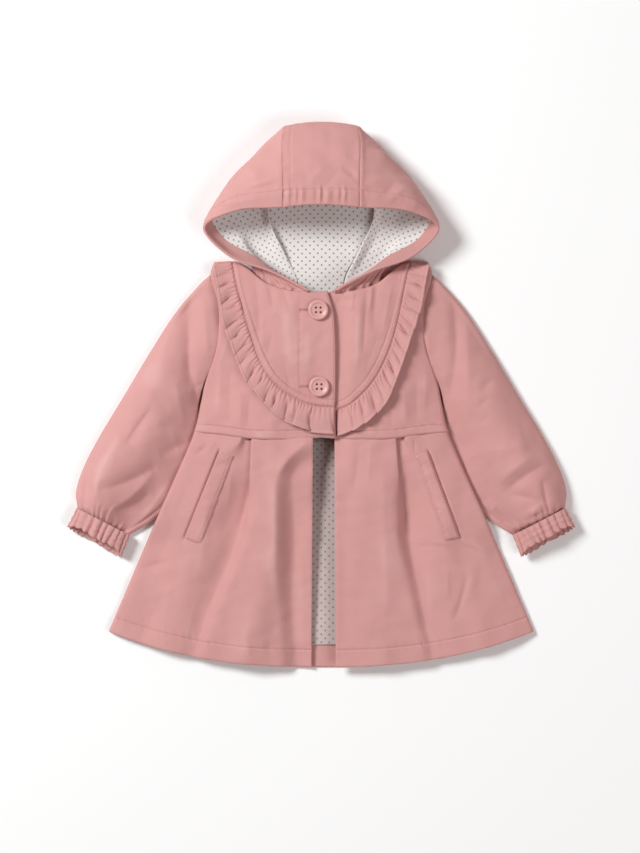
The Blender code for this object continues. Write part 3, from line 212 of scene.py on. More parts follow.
# creases and soft folds: x, y to x, y, half width, height, bow, lean to the left flank
CREASES = {
    "yoke_right": (
        (-66, 124, -61, 52, 6.0, -1.9, 2.0, 0.1), (-33, 104, -29, 18, 8.0, 1.3, 0.0, 0.0),
        (-53, 113, -47, 84, 2.2, -0.8, 1.5, 0.0), (-44, 109, -41, 95, 1.7, 0.4, 0.0, 0.0),
        (-38, 108, -30, 80, 2.4, -0.7, 1.0, 0.0), (-27, 106, -26, 95, 1.5, -0.4, 0.0, 0.0),
        (-47, 66, -53, 36, 3.6, -0.9, 0.0, 0.0), (-57, 84, -58, 40, 3.0, 0.7, 0.0, 0.0),
        (-20, 96, -23, 60, 3.0, -0.5, 0.0, 0.0), (-12, 70, -12, 20, 6.0, 0.7, 0.0, 0.0),
        (-14, 20, 8, 24, 5.0, -0.5, 0.0, 0.0), (-36, 40, -30, 4, 4.0, -0.6, 0.0, 0.0)),
    "yoke_left": (
        (60, 128, 54, 62, 7.0, -1.9, -2.0, 0.1), (40, 104, 36, 20, 6.5, 1.3, 0.0, 0.0),
        (24, 104, 24, 12, 6.0, -1.6, 0.0, 0.0), (47, 108, 43, 40, 2.6, -0.9, 0.0, 0.0),
        (17, 96, 36, 92, 2.0, -0.8, 1.0, 0.0), (17, 90, 33, 86, 1.6, 0.6, 1.0, 0.0),
        (33, 103, 31, 84, 1.8, 0.9, 0.0, 0.0), (52, 111, 50, 84, 2.0, 0.9, 0.0, 0.0),
        (72, 112, 62, 60, 3.0, 0.8, 0.0, 0.0), (58, 60, 44, 20, 4.0, -0.6, 0.0, 0.0)),
    "bodice_right": (
        (-100, 30, -103, -26, 4.0, 0.8, 0.0, 0.0), (-89, 30, -90, -30, 4.5, -1.1, 0.0, 0.0),
        (-80, 6, -80, -32, 3.5, 0.8, 0.0, 0.0), (-70, 2, -72, -34, 4.5, -1.2, 0.0, 0.0),
        (-50, -22, -50, -40, 3.5, 0.5, 0.0, 0.0), (-98, 86, -105, 44, 3.0, -0.8, 0.0, 0.0),
        (-92, 56, -104, 20, 3.5, 0.6, 0.0, 0.0), (-32, -34, -33, -43, 2.0, -0.5, 0.0, 0.0)),
    "bodice_left": (
        (106, 30, 104, -28, 5.0, 0.8, 0.0, 0.0), (96, 22, 97, -30, 5.0, -0.9, 0.0, 0.0),
        (84, 8, 84, -32, 4.0, 0.7, 0.0, 0.0), (70, -6, 72, -36, 4.5, -0.9, 0.0, 0.0),
        (100, 92, 108, 50, 3.0, -0.8, 0.0, 0.0), (52, -26, 53, -42, 3.0, 0.5, 0.0, 0.0)),
    "skirt_right": (
        (-11, -46, -43, -82, 5.5, 1.5, -3.0, -0.35), (-46, -68, -45, -225, 8.0, 1.6, 0.0, 0.0),
        (-28, -60, -26, -180, 6.0, -1.2, 0.0, 0.2), (-20, -150, -18, -262, 7.0, 1.0, 0.0, 0.0),
        (-112, -96, -122, -188, 8.0, 1.3, 0.0, 0.0),
        (-131, -80, -172, -190, 9.0, -1.4, 3.0, 0.0), (-181, -174, -149, -167, 1.8, -0.8, 0.5, 0.0),
        (-176, -182, -146, -173, 3.2, 0.6, 0.0, 0.0), (-124, -60, -112, -50, 2.6, -1.1, 0.0, 0.0),
        (-114, -58, -106, -47, 2.4, 0.8, 0.0, 0.0), (-118, -190, -140, -262, 9.0, 1.0, 0.0, 0.0),
        (-158, -198, -178, -246, 8.0, -1.0, 0.0, 0.0), (-70, -210, -76, -268, 8.0, 1.0, 0.0, 0.0),
        (-155, -108, -146, -128, 2.6, -0.7, 0.0, 0.0), (-88, -70, -92, -110, 4.0, 0.7, 0.0, 0.0)),
    "skirt_left": (
        (40, -46, 33, -100, 4.5, -1.0, 0.0, 0.0), (50, -46, 48, -90, 4.0, 0.8, 0.0, 0.0),
        (62, -60, 68, -240, 8.0, 1.3, 0.0, 0.0), (26, -100, 24, -250, 9.0, -1.3, 0.0, 0.0),
        (147, -180, 133, -227, 2.7, -1.7, 2.0, 0.3), (152, -176, 141, -214, 4.0, 1.0, 2.0, 0.0),
        (128, -170, 127, -206, 2.4, 0.6, 0.0, 0.0), (97, -152, 124, -151, 1.6, -0.8, 0.0, 0.0),
        (113, -146, 130, -150, 1.5, 0.7, 0.0, 0.0), (143, -146, 167, -155, 1.7, 0.7, 0.0, 0.0),
        (141, -150, 163, -160, 1.8, -0.5, 0.0, 0.0), (94, -44, 95, -62, 0.9, -0.6, 0.0, 0.0),
        (110, -62, 150, -150, 7.0, -0.8, 0.0, 0.0), (160, -150, 190, -225, 9.0, 0.9, 0.0, 0.0),
        (108, -160, 112, -250, 7.0, 1.0, 0.0, 0.0), (60, -168, 32, -163, 3.0, 0.4, 0.0, 0.0)),
    "sleeve_right": (
        (-131, 106, -131, 4, 8.5, -5.0, 0.0, -0.2), (-133, 40, -121, -14, 6.0, -2.6, 0.0, 0.0),
        (-117, 96, -112, 34, 5.0, 1.2, 0.0, 0.0), (-150, 84, -176, -20, 14.0, 1.6, 4.0, 0.0),
        (-127, 9, -115, 11, 1.8, -1.0, 0.0, 0.0), (-168, -12, -194, -50, 4.2, -2.6, 0.0, 0.3),
        (-168, 4, -150, -16, 5.0, -1.0, 0.0, 0.0), (-160, -60, -132, -47, 5.5, -2.1, 0.0, 0.0),
        (-228, -112, -196, -38, 6.5, 2.3, 5.0, 0.0), (-222, -95, -163, -70, 6.0, -2.9, -4.0, 0.0),
        (-214, -118, -166, -76, 5.0, 2.2, -4.0, 0.0), (-205, -116, -170, -98, 5.5, -2.3, -2.0, 0.0),
        (-190, -136, -150, -84, 5.5, 1.7, -3.0, 0.0), (-236, -82, -233, -112, 3.6, -2.0, 0.0, 0.0),
        (-150, -30, -138, -64, 5.0, 1.0, 0.0, 0.0), (-146, 20, -136, -34, 6.0, 1.2, 0.0, 0.0)),
    "sleeve_left": (
        (132, 98, 129, -4, 11.0, -4.2, 6.0, 0.45), (129, 20, 146, -78, 9.0, -2.6, 0.0, 0.3),
        (146, 90, 149, -50, 7.5, 1.8, 0.0, 0.0), (173, 15, 160, 5, 2.2, -1.0, 0.0, 0.0),
        (169, -4, 157, -13, 2.2, -0.9, 0.0, 0.0), (168, -21, 160, -29, 2.2, -0.7, 0.0, 0.0),
        (150, -62, 208, -52, 7.0, 1.2, 3.0, 0.0), (229, -68, 182, -101, 6.0, -2.9, -3.0, 0.0),
        (216, -60, 176, -92, 6.0, 1.7, -3.0, 0.0), (222, -84, 228, -118, 2.8, -2.0, 0.0, 0.0),
        (188, -98, 222, -106, 4.5, -1.8, 0.0, 0.0), (212, -112, 216, -120, 4.0, 2.0, 0.0, 0.0),
        (174, -114, 194, -134, 3.4, -1.5, 0.0, 0.0), (168, -104, 182, -128, 3.6, 1.3, 0.0, 0.0),
        (241, -84, 243, -110, 3.0, -1.2, 0.0, 0.0), (196, -20, 214, -60, 8.0, -0.9, 0.0, 0.0)),
    "hood_right": (
        (-70, 207, -40, 216, 2.6, 0.9, 0.0, 0.0), (-74, 202, -42, 210, 2.2, -0.7, 0.0, 0.0),
        (-54, 236, -60, 206, 5.0, -0.6, 0.0, 0.0), (-92, 190, -60, 196, 3.0, 0.5, 0.0, 0.0),
        (-82, 214, -52, 222, 6.0, 0.6, 0.0, 0.0)),
    "hood_left": (
        (47, 249, 68, 243, 2.0, -0.8, 0.0, 0.0), (48, 245, 70, 239, 2.2, 0.7, 0.0, 0.0),
        (52, 215, 104, 214, 2.6, 0.8, 1.0, 0.0), (54, 220, 98, 221, 3.0, -0.6, 1.0, 0.0),
        (66, 190, 86, 210, 3.6, 1.0, 0.0, 0.0), (60, 194, 76, 212, 3.4, -1.0, 0.0, 0.0),
        (46, 206, 62, 200, 2.6, -0.7, 0.0, 0.0), (92, 204, 112, 196, 4.0, -0.7, 0.0, 0.0)),
    "hood_centre": (
        (26, 238, 41, 236, 1.8, -0.7, 0.0, 0.0), (22, 226, 41, 214, 2.4, -1.0, 0.0, 0.0),
        (20, 220, 40, 208, 2.2, 0.7, 0.0, 0.0), (-14, 204, 6, 232, 6.0, 0.9, 0.0, 0.0),
        (2, 202, 20, 224, 6.0, -1.1, 0.0, 0.0), (-36, 224, -27, 225, 1.6, -0.8, 0.0, 0.0),
        (-22, 238, -10, 204, 6.0, -0.6, 0.0, 0.0)),
}


# ---------------------------------------------------------------- curves and blends, on arrays
def mix(a, b, share):
    """The value at that share of the way from a to b."""
    return a + (b - a) * share


def ramp(low, high, at):
    """0 at low, 1 at high, smooth between."""
    share = np.clip((at - low) / (high - low), 0.0, 1.0)
    return share * share * (3.0 - 2.0 * share)


def quarter(share):
    """A quarter of an ellipse: steep at 0, level at 1."""
    rest = 1.0 - np.clip(share, 0.0, 1.0)
    return np.sqrt(1.0 - rest * rest)


class Smooth:
    """A smooth curve through rows of values at rising stations, level beyond its ends."""

    def __init__(self, stations, values):
        self.stations = np.asarray(stations, float)
        self.values = np.asarray(values, float)
        last = len(self.stations) - 1
        before = np.maximum(np.arange(last + 1) - 1, 0)
        after = np.minimum(np.arange(last + 1) + 1, last)
        run = self.stations[after] - self.stations[before]
        self.slopes = (self.values[after] - self.values[before]) / self._wide(run)

    def _wide(self, numbers):
        """Numbers along the stations, given the values' further dimensions."""
        return numbers.reshape(numbers.shape + (1,) * (self.values.ndim - 1))

    def __call__(self, at):
        at = np.clip(np.asarray(at, float), self.stations[0], self.stations[-1])
        span = np.searchsorted(self.stations, at, side="right") - 1
        span = np.clip(span, 0, len(self.stations) - 2)
        width = self.stations[span + 1] - self.stations[span]
        t = (at - self.stations[span]) / width
        t = self._wide(t)
        width = self._wide(width)
        blend = mix(self.values[span], self.values[span + 1], t * t * (3.0 - 2.0 * t))
        start = self.slopes[span] * width * t * (1.0 - t) ** 2
        end = self.slopes[span + 1] * width * t * t * (t - 1.0)
        return blend + start + end


def by_level(table, column):
    """One column of a table whose first column falls from row to row."""
    rows = sorted(table, key=lambda row: row[0])
    return Smooth([row[0] for row in rows], [row[column] for row in rows])


def path(points):
    """A smooth curve through the points, by the share of its length."""
    points = np.asarray(points, float)
    lengths = np.concatenate(([0.0], np.cumsum(np.linalg.norm(np.diff(points, axis=0), axis=1))))
    return Smooth(lengths / lengths[-1], points)


def stacked(*parts):
    return np.stack(np.broadcast_arrays(*parts), axis=-1)


def mirrored(points):
    """The same places on the other side of the coat."""
    points = np.array(points, float)
    points[..., 0] = MIRROR - points[..., 0]
    return points


def spaced(*stretches):
    """Stations made of stretches (from, to, steps), each starting where the last one ends."""
    parts = [np.linspace(low, high, steps, endpoint=False) for low, high, steps in stretches]
    return np.concatenate(parts + [[stretches[-1][1]]])


# ---------------------------------------------------------------- creases, seams and gathers
def creases(table, x, y):
    """Height of soft folds: x, y to x, y, half width, height, bow of its line, lean of its flanks."""
    total = np.zeros(np.broadcast(x, y).shape)
    for x_from, y_from, x_to, y_to, width, height, bow, lean in table:
        length = math.hypot(x_to - x_from, y_to - y_from)
        ahead_x = (x_to - x_from) / length
        ahead_y = (y_to - y_from) / length
        along = ((x - x_from) * ahead_x + (y - y_from) * ahead_y) / length
        inside = np.clip(along, 0.0, 1.0)
        aside = (y - y_from) * ahead_x - (x - x_from) * ahead_y - 4.0 * bow * inside * (1.0 - inside)
        flank = np.abs(aside / (width * (1.0 + lean * np.sign(aside))))
        total += height * np.sin(math.pi * inside) ** 0.7 * np.exp(-flank ** 2 / (0.35 + flank))
    return total


def uneven(along, pitch, seed):
    """Waves of about that pitch, never quite alike, from -1 to 1."""
    turn = 2.0 * math.pi * along / pitch
    first = np.sin(turn + 1.1 * np.sin(0.37 * turn + 1.7 * seed) + 2.3 * seed)
    second = np.sin(0.61 * turn + 1.9 * seed + 0.8 * np.sin(0.23 * turn))
    return 0.62 * first + 0.38 * second


def rumpled(x, y, seed):
    """The slight unevenness of cloth that has been in use and laid down."""
    broad = uneven(x + 0.35 * y, 46.0, seed) * uneven(y - 0.2 * x, 58.0, seed + 1.0)
    fine = uneven(0.8 * x - 0.6 * y, 21.0, seed + 2.0) * uneven(0.5 * x + 0.9 * y, 29.0, seed + 3.0)
    return 0.75 * broad + 0.28 * fine


def relief_of(panel, x, y, seed):
    """Its creases and unevenness, as deep as the coat's settings say."""
    depth = bpy.context.scene.coat_sizes.crease_depth
    return depth * (creases(CREASES[panel], x, y) + rumpled(x, y, seed))


class Line:
    """A plan line, such as a seam or a row of stitches."""

    def __init__(self, points, count=90):
        self.points = path(points)(np.linspace(0.0, 1.0, count))
        steps = np.linalg.norm(np.diff(self.points, axis=0), axis=1)
        self.reach = np.concatenate(([0.0], np.cumsum(steps)))

    def at(self, along):
        """Plan points at distances along the line."""
        return stacked(np.interp(along, self.reach, self.points[:, 0]),
                       np.interp(along, self.reach, self.points[:, 1]))

    def shifted(self, aside):
        """The line moved sideways, to the left of its direction."""
        ahead = np.gradient(self.points, axis=0)
        ahead /= np.linalg.norm(ahead, axis=1)[:, None]
        return Line(self.points + stacked(-ahead[:, 1], ahead[:, 0]) * aside, len(self.points))

    def measure(self, x, y):
        """Distance from the line, positive to its left, and how far along it."""
        start = self.points[:-1]
        run = np.diff(self.points, axis=0)
        best = np.full(x.shape, np.inf)
        aside = np.zeros(x.shape)
        along = np.zeros(x.shape)
        for (x_from, y_from), (dx, dy), reach in zip(start, run, self.reach):
            long = math.hypot(dx, dy)
            share = np.clip(((x - x_from) * dx + (y - y_from) * dy) / long ** 2, 0.0, 1.0)
            off_x = x - x_from - share * dx
            off_y = y - y_from - share * dy
            far = np.hypot(off_x, off_y)
            nearer = far < best
            best = np.where(nearer, far, best)
            aside = np.where(nearer, far * np.sign(dx * off_y - dy * off_x), aside)
            along = np.where(nearer, reach + share * long, along)
        return aside, along


def groove(aside, depth, width):
    """A soft trough along a line."""
    return -depth * np.exp(-(aside / width) ** 2)


def sewn(aside, along, seed, depth=0.55, pucker=0.3, reach=5.0, pitch=7.0):
    """A row of stitches pulls the cloth down along it and puckers it on both sides."""
    pull = groove(aside, depth, 0.9) * (1.0 + 0.3 * np.sin(2.0 * math.pi * along / STITCH_PITCH))
    return pull + pucker * uneven(along + 0.4 * aside, pitch, seed) * np.exp(-(aside / reach) ** 2)


def into_seams(points, edges, depth, width):
    """How far a panel dips along the named edges of its grid: first or last row or column."""
    across, down = lengths_of(points)
    far = {"first column": across, "last column": across[:, -1:] - across,
           "first row": down, "last row": down[-1:] - down}
    return -depth * sum(np.exp(-(far[edge] / width) ** 2) for edge in edges)


def lifted(points, height):
    """The points moved straight up."""
    return points + stacked(0.0, 0.0, height)


# ---------------------------------------------------------------- the lie of the coat
edge_x = by_level(BODY_EDGE, 1)
armhole_height = by_level(BODY_EDGE, 2)
middle_height = by_level(FRONT_HEIGHT, 1)
waist_curve = Smooth([place[0] for place in WAIST], [place[1] for place in WAIST])
pleat_x = {side: by_level(PLEAT[side], 1) for side in SIDES}


def from_side(x, y):
    """Distance inwards from the nearer side seam or armhole."""
    return np.minimum(x, MIRROR - x) - edge_x(y)


def back_lift(x, y):
    """Height of the back's underside: 0, but over the sleeves' inner edges by the side seams."""
    band = (1.0 - ramp(4.0, 24.0, y)) * ramp(-160.0, -118.0, y)
    return SLEEVE_LIFT * band * (1.0 - ramp(13.0, 46.0, from_side(x, y)))


def edge_height(y):
    """Height of the front's side seam, and of its armhole above that."""
    resting = back_lift(edge_x(y), y) + CLOTH + WALL
    return mix(resting, armhole_height(y), ramp(-22.0, -8.0, y))


def front_surface(x, y):
    """Height of the front's outer face over a plan point."""
    inwards = np.maximum(from_side(x, y), 0.0)
    edge = edge_height(y)
    roll = EDGE_ROLL * (1.0 - ramp(-22.0, 0.0, y))
    swell = np.sin(math.pi / 2.0 * np.minimum(inwards / BODY_SWELL, 1.0))
    shoulder = quarter((SHOULDER_Y - y) / SHOULDER_ROLL)
    return edge + roll * quarter(inwards / EDGE_WIDTH) + (middle_height(y) - edge - roll) * swell * shoulder


def underlap(side, x):
    """How much lower the left front lies where the right one covers it."""
    return UNDERLAP * (1.0 - ramp(17.5, 34.0, x)) if side == "left" else np.zeros_like(x)


def bodice_surface(side, x, y):
    """Height of a bodice front's outer face."""
    return front_surface(x, y) - underlap(side, x)


def waist_y(x):
    return waist_curve(np.where(x > MIRROR / 2.0, MIRROR - x, x))


def hem_y(x):
    return HEM_LOW + HEM_SWEEP * (np.abs(x - MIRROR / 2.0) / HEM_HALF) ** 2.4


# ---------------------------------------------------------------- making cloth
STITCH_PITCH = 3.2          # from one stitch to the next
LEAST_FULL = 0.5            # a tapered piece is cut from a rectangle that it fills by half
pieces = {}
trees = {}                  # search trees of the pieces, for laying stitches on them


def selected_alone(obj):
    bpy.ops.object.select_all(action="DESELECT")
    obj.select_set(True)
    bpy.context.view_layer.objects.active = obj


def normals_of(points, flip):
    """Unit normals of a grid of points, pointing out of the face that shows."""
    out = np.cross(np.gradient(points, axis=1), np.gradient(points, axis=0))
    out /= np.maximum(np.linalg.norm(out, axis=-1, keepdims=True), 1e-9)
    return -out if flip else out


def lengths_of(points):
    """How far each point of a grid lies along its row and down its column, in mm of cloth."""
    across = np.linalg.norm(np.diff(points, axis=1), axis=-1)
    down = np.linalg.norm(np.diff(points, axis=0), axis=-1)
    across = np.pad(np.cumsum(across, axis=1), ((0, 0), (1, 0)))
    down = np.pad(np.cumsum(down, axis=0), ((1, 0), (0, 0)))
    return across, down


def cut_of(points):
    """Width, length and area of the flat cloth, in metres."""
    across, down = lengths_of(points)
    one = np.cross(points[1:, :-1] - points[:-1, :-1], points[:-1, 1:] - points[:-1, :-1])
    other = np.cross(points[:-1, 1:] - points[1:, 1:], points[1:, :-1] - points[1:, 1:])
    area = 0.5 * (np.linalg.norm(one, axis=-1).sum() + np.linalg.norm(other, axis=-1).sum())
    area *= MM * MM
    length = down[-1].max() * MM
    width = min(across[:, -1].max() * MM, area / length / LEAST_FULL)
    return width, length, min(area, width * length)


def flatten_to_size(mesh, ahead):
    """Scale an unwrapped panel to its real size, turned so that the direction ahead runs up its map."""
    mesh.calc_loop_triangles()
    spots = np.empty(len(mesh.vertices) * 3)
    mesh.vertices.foreach_get("co", spots)
    spots = spots.reshape(-1, 3)
    corners = np.empty(len(mesh.loop_triangles) * 3, int)
    mesh.loop_triangles.foreach_get("vertices", corners)
    loops = np.empty(len(mesh.loop_triangles) * 3, int)
    mesh.loop_triangles.foreach_get("loops", loops)
    flat = np.empty(len(mesh.loops) * 2)
    mesh.uv_layers.active.data.foreach_get("uv", flat)
    flat = flat.reshape(-1, 2)
    solid = spots[corners].reshape(-1, 3, 3)
    plane = flat[loops].reshape(-1, 3, 2)
    one, other = plane[:, 1] - plane[:, 0], plane[:, 2] - plane[:, 0]
    plane_area = np.abs(one[:, 0] * other[:, 1] - one[:, 1] * other[:, 0]).sum()
    solid_area = np.linalg.norm(np.cross(solid[:, 1] - solid[:, 0], solid[:, 2] - solid[:, 0]), axis=1).sum()
    flat *= math.sqrt(solid_area / plane_area)
    placed = spots[corners][:, :2] @ np.asarray(ahead, float)
    rise = flat[loops] - flat[loops].mean(axis=0)
    slope = ((placed - placed.mean())[:, None] * rise).sum(axis=0)
    slope /= np.linalg.norm(slope)
    turn = np.array(((slope[1], slope[0]), (-slope[0], slope[1])))
    mesh.uv_layers.active.data.foreach_set("uv", (flat @ turn).ravel())


def cloth(name, points, finish, node, wall=None, ring=False, flip=False,
          wear_and_painted_highlight=0.0, unrolled=False):
    """A shell of cloth over a grid of points (rows, columns, 3) in mm, which replaces its node."""
    rows, columns = points.shape[:2]
    bpy.ops.object.select_all(action="DESELECT")
    bpy.ops.mesh.primitive_grid_add(x_subdivisions=columns - 1, y_subdivisions=rows - 1, size=2.0)
    piece = bpy.context.object
    piece.name = name
    mesh = piece.data
    mesh.name = name
    places = np.empty(len(mesh.vertices) * 3)
    mesh.vertices.foreach_get("co", places)
    places = places.reshape(-1, 3)
    column = np.rint((places[:, 0] + 1.0) / 2.0 * (columns - 1)).astype(int)
    row = np.rint((places[:, 1] + 1.0) / 2.0 * (rows - 1)).astype(int)
    mesh.vertices.foreach_set("co", ((points[row, column] - ORIGIN) * MM).ravel())
    across, down = lengths_of(points)
    across = across - across[:, columns // 2][:, None]
    corners = np.empty(len(mesh.loops), int)
    mesh.loops.foreach_get("vertex_index", corners)
    flat = stacked(across, -down)[row[corners], column[corners]] * MM
    mesh.uv_layers.active.data.foreach_set("uv", flat.ravel())
    # how much paler each point is painted on raised crests: painted highlight, partly wear
    wear_and_painted_highlight_layer = mesh.attributes.new("wear_and_painted_highlight", "FLOAT", "POINT")
    wear_and_painted_highlight_layer.data.foreach_set("value", np.broadcast_to(wear_and_painted_highlight, (rows, columns))[row, column].astype(np.float32))
    bpy.ops.object.mode_set(mode="EDIT")
    bpy.ops.mesh.select_all(action="SELECT")
    if ring:
        bpy.ops.mesh.remove_doubles(threshold=0.00001)
    if flip:
        bpy.ops.mesh.flip_normals()
    if unrolled:
        bpy.ops.uv.unwrap(method="CONFORMAL", margin=0.0)
    bpy.ops.object.mode_set(mode="OBJECT")
    if unrolled:
        flatten_to_size(mesh, unrolled)
    bpy.ops.object.shade_smooth()
    bpy.ops.object.modifier_add(type="SOLIDIFY")
    piece.modifiers[-1].thickness = wall * MM if wall else bpy.context.scene.coat_sizes.cloth_thickness
    piece.modifiers[-1].offset = -1.0
    bpy.ops.object.modifier_apply(modifier=piece.modifiers[-1].name)
    mesh = piece.data
    mesh.materials.append(finish)
    width, length, area = cut_of(points)
    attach(piece, "root")
    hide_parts(node)
    pieces[name] = piece
    return piece


# ---------------------------------------------------------------- materials
class Wire:
    """An output in a material. Arithmetic on it adds Math nodes."""

    def __init__(self, finish, socket):
        self.finish = finish
        self.socket = socket

    def math(self, operation, *values):
        return self.finish.node("ShaderNodeMath", {"operation": operation}, dict(enumerate(values)))

    def __add__(self, other):
        return self.math("ADD", self, other)

    def __sub__(self, other):
        return self.math("SUBTRACT", self, other)

    def __rsub__(self, other):
        return self.math("SUBTRACT", other, self)

    def __mul__(self, other):
        return self.math("MULTIPLY", self, other)

    def sine(self):
        return self.math("SINE", self)

    def step_up(self, low, high):
        """0 below low, 1 above high, smooth between."""
        return self.finish.node("ShaderNodeMapRange", {"interpolation_type": "SMOOTHSTEP"},
                                {"Value": self, "From Min": low, "From Max": high})

    def from_centre(self, pitch, offset):
        """Distance from the nearest multiple of a pitch, in the same unit."""
        return self.math("PINGPONG", self + offset, pitch / 2.0)

    __radd__ = __add__
    __rmul__ = __mul__


class Finish:
    """A material, built node by node round its Principled shader."""

    def __init__(self, name):
        self.material = bpy.data.materials.new(name)
        self.material.use_nodes = True
        self.tree = self.material.node_tree
        self.shader = self.tree.nodes["Principled BSDF"]

    def node(self, kind, settings, sockets, output=0):
        """Adds a node: its settings first, then a value or a link for each named socket."""
        node = self.tree.nodes.new(kind)
        for key, value in settings.items():
            setattr(node, key, value)
        for key, value in sockets.items():
            self.feed(node.inputs[key], value)
        return Wire(self, node.outputs[output])

    def feed(self, socket, value):
        if isinstance(value, Wire):
            self.tree.links.new(value.socket, socket)
        else:
            socket.default_value = value

    def set(self, **sockets):
        """Values or links for the shader, its names with underscores for spaces."""
        for key, value in sockets.items():
            self.feed(self.shader.inputs[key.replace("_", " ")], value)

    def place(self):
        """Object coordinates, in metres."""
        return self.node("ShaderNodeTexCoord", {}, {}, 3)

    def along_cloth(self):
        """Metres across and down the flat cloth."""
        spot = self.node("ShaderNodeUVMap", {"uv_map": "UVMap"}, {})
        return self.apart(spot)

    def apart(self, spot):
        node = self.tree.nodes.new("ShaderNodeSeparateXYZ")
        self.feed(node.inputs[0], spot)
        return [Wire(self, output) for output in node.outputs]

    def attribute(self, name):
        return self.node("ShaderNodeAttribute", {"attribute_name": name}, {}, 2)

    def noise(self, scale, detail=2.0, rough=0.5, spot=None):
        spot = spot or self.place()
        return self.node("ShaderNodeTexNoise", {},
                         {"Vector": spot, "Scale": scale, "Detail": detail, "Roughness": rough})

    def colour_mix(self, share, first, second):
        node = self.tree.nodes.new("ShaderNodeMix")
        node.data_type = "RGBA"
        for index, value in ((0, share), (6, first), (7, second)):
            self.feed(node.inputs[index], value)
        return Wire(self, node.outputs[2])

    def bump(self, height, distance, strength=1.0, under=None):
        sockets = {"Height": height, "Distance": distance, "Strength": strength}
        if under:
            sockets["Normal"] = under
        return self.node("ShaderNodeBump", {}, sockets)


TWILL_PITCH = 0.85          # from rib to rib of the twill
WEAVE_PITCH = 0.62          # of two of the lining's threads


def shade(colour, factor):
    """A colour made lighter or darker, with alpha."""
    return tuple(channel * factor for channel in colour[:3]) + (1.0,)


def twill_finish(colours, sizes):
    finish = Finish("pink_twill")
    across, down = finish.along_cloth()[:2]
    pitch = 2.0 * math.pi / (TWILL_PITCH * MM)
    rib = ((across * 0.86 + down * 0.5) * pitch).sine()
    yarn = ((down - across * 0.35) * (pitch * 1.9)).sine()
    speckle = finish.noise(950.0, 2.0, 0.6)
    cloud = finish.noise(26.0, 3.0, 0.55)
    patch = finish.noise(7.0, 2.0, 0.5)
    pink = colours.pink
    tone = (cloud - 0.5) * 0.55 + (patch - 0.5) * 0.35 + (speckle - 0.5) * 0.5 + 0.5
    ground = finish.colour_mix(tone.step_up(0.1, 0.9), shade(pink, 0.93), shade(pink, 1.06))
    # the crests are painted paler: painted highlight, partly wear
    wear_and_painted_highlight = finish.attribute("wear_and_painted_highlight")
    ground = finish.colour_mix(wear_and_painted_highlight * 0.35, ground, tuple(colours.wear_and_painted_highlight_pink) + (1.0,))
    low = finish.bump(rib + yarn * 0.35 + speckle * 1.5, 0.00006, 0.55)
    soft = finish.bump(finish.noise(210.0, 3.0, 0.6), 0.0005, 0.30, low)
    finish.set(Base_Color=ground, Roughness=(speckle - 0.5) * 0.2 + 0.82, Normal=soft)
    finish.set(Sheen_Weight=0.08, Sheen_Roughness=0.45, Specular_IOR_Level=0.25)
    finish.set(Sheen_Tint=(1.0, 0.86, 0.84, 1.0))
    return finish.material


def lining_finish(colours, sizes, name="dotted_lining", ground=None):
    finish = Finish(name)
    across, down = finish.along_cloth()[:2]
    pitch = sizes.dot_pitch
    radius = sizes.dot_radius

    def dots(offset):
        x = across.from_centre(pitch, offset)
        y = down.from_centre(pitch, offset)
        far = (x * x + y * y).math("SQRT", x * x + y * y)
        return 1.0 - far.step_up(radius * 0.72, radius * 1.2)

    dotted = dots(0.0).math("MAXIMUM", dots(0.0), dots(pitch / 2.0))
    grain = finish.noise(1400.0, 2.0, 0.6)
    cloud = finish.noise(30.0, 2.0, 0.5)
    ground = ground or colours.lining
    tone = (grain * 0.5 + cloud * 0.5).step_up(0.25, 0.75)
    base = finish.colour_mix(tone, shade(ground, 0.94), shade(ground, 1.03))
    thread = 2.0 * math.pi / (WEAVE_PITCH * MM)
    weave = (across * thread).sine() * (down * thread).sine()
    finish.set(Base_Color=finish.colour_mix(dotted * 0.9, base, tuple(colours.dot) + (1.0,)), Roughness=0.88,
               Normal=finish.bump(weave + grain, 0.00005, 0.5))
    finish.set(Sheen_Weight=0.08, Specular_IOR_Level=0.25)
    return finish.material


def painted_shade_lining_finish(colours, sizes):
    """The skirt's lining, darkened with painted shade and tinged with a painted pink reflection of the fronts
    on either side of it.
    """
    return lining_finish(colours, sizes, "painted_shade_skirt_lining", colours.painted_shade_skirt_lining)


def thread_finish(colours, sizes):
    finish = Finish("sewing_thread")
    twist = finish.noise(3000.0, 1.0, 0.5)
    tone = finish.colour_mix(twist, shade(colours.thread, 0.9), shade(colours.thread, 1.06))
    finish.set(Base_Color=tone, Roughness=0.6, Normal=finish.bump(twist, 0.0001, 0.5))
    finish.set(Sheen_Weight=0.15)
    return finish.material


def button_finish(colours, sizes):
    finish = Finish("button_plastic")
    cloud = finish.noise(160.0, 3.0, 0.5)
    fine = finish.noise(900.0, 2.0, 0.5)
    tone = finish.colour_mix(cloud, shade(colours.button, 0.96), shade(colours.button, 1.04))
    finish.set(Base_Color=tone, Roughness=fine * 0.12 + 0.34, Normal=finish.bump(fine, 0.00008, 0.4))
    finish.set(Coat_Roughness=0.3, Coat_Weight=0.12)
    return finish.material


finishes = {}


def finish_named(name):
    """One of the coat's finishes, made from its colours and sizes when it is first used."""
    makers = {"twill": twill_finish, "lining": lining_finish, "skirt lining with painted shade": painted_shade_lining_finish,
              "thread": thread_finish, "button": button_finish}
    if name not in finishes:
        finishes[name] = makers[name](bpy.context.scene.coat_colours, bpy.context.scene.coat_sizes)
    return finishes[name]


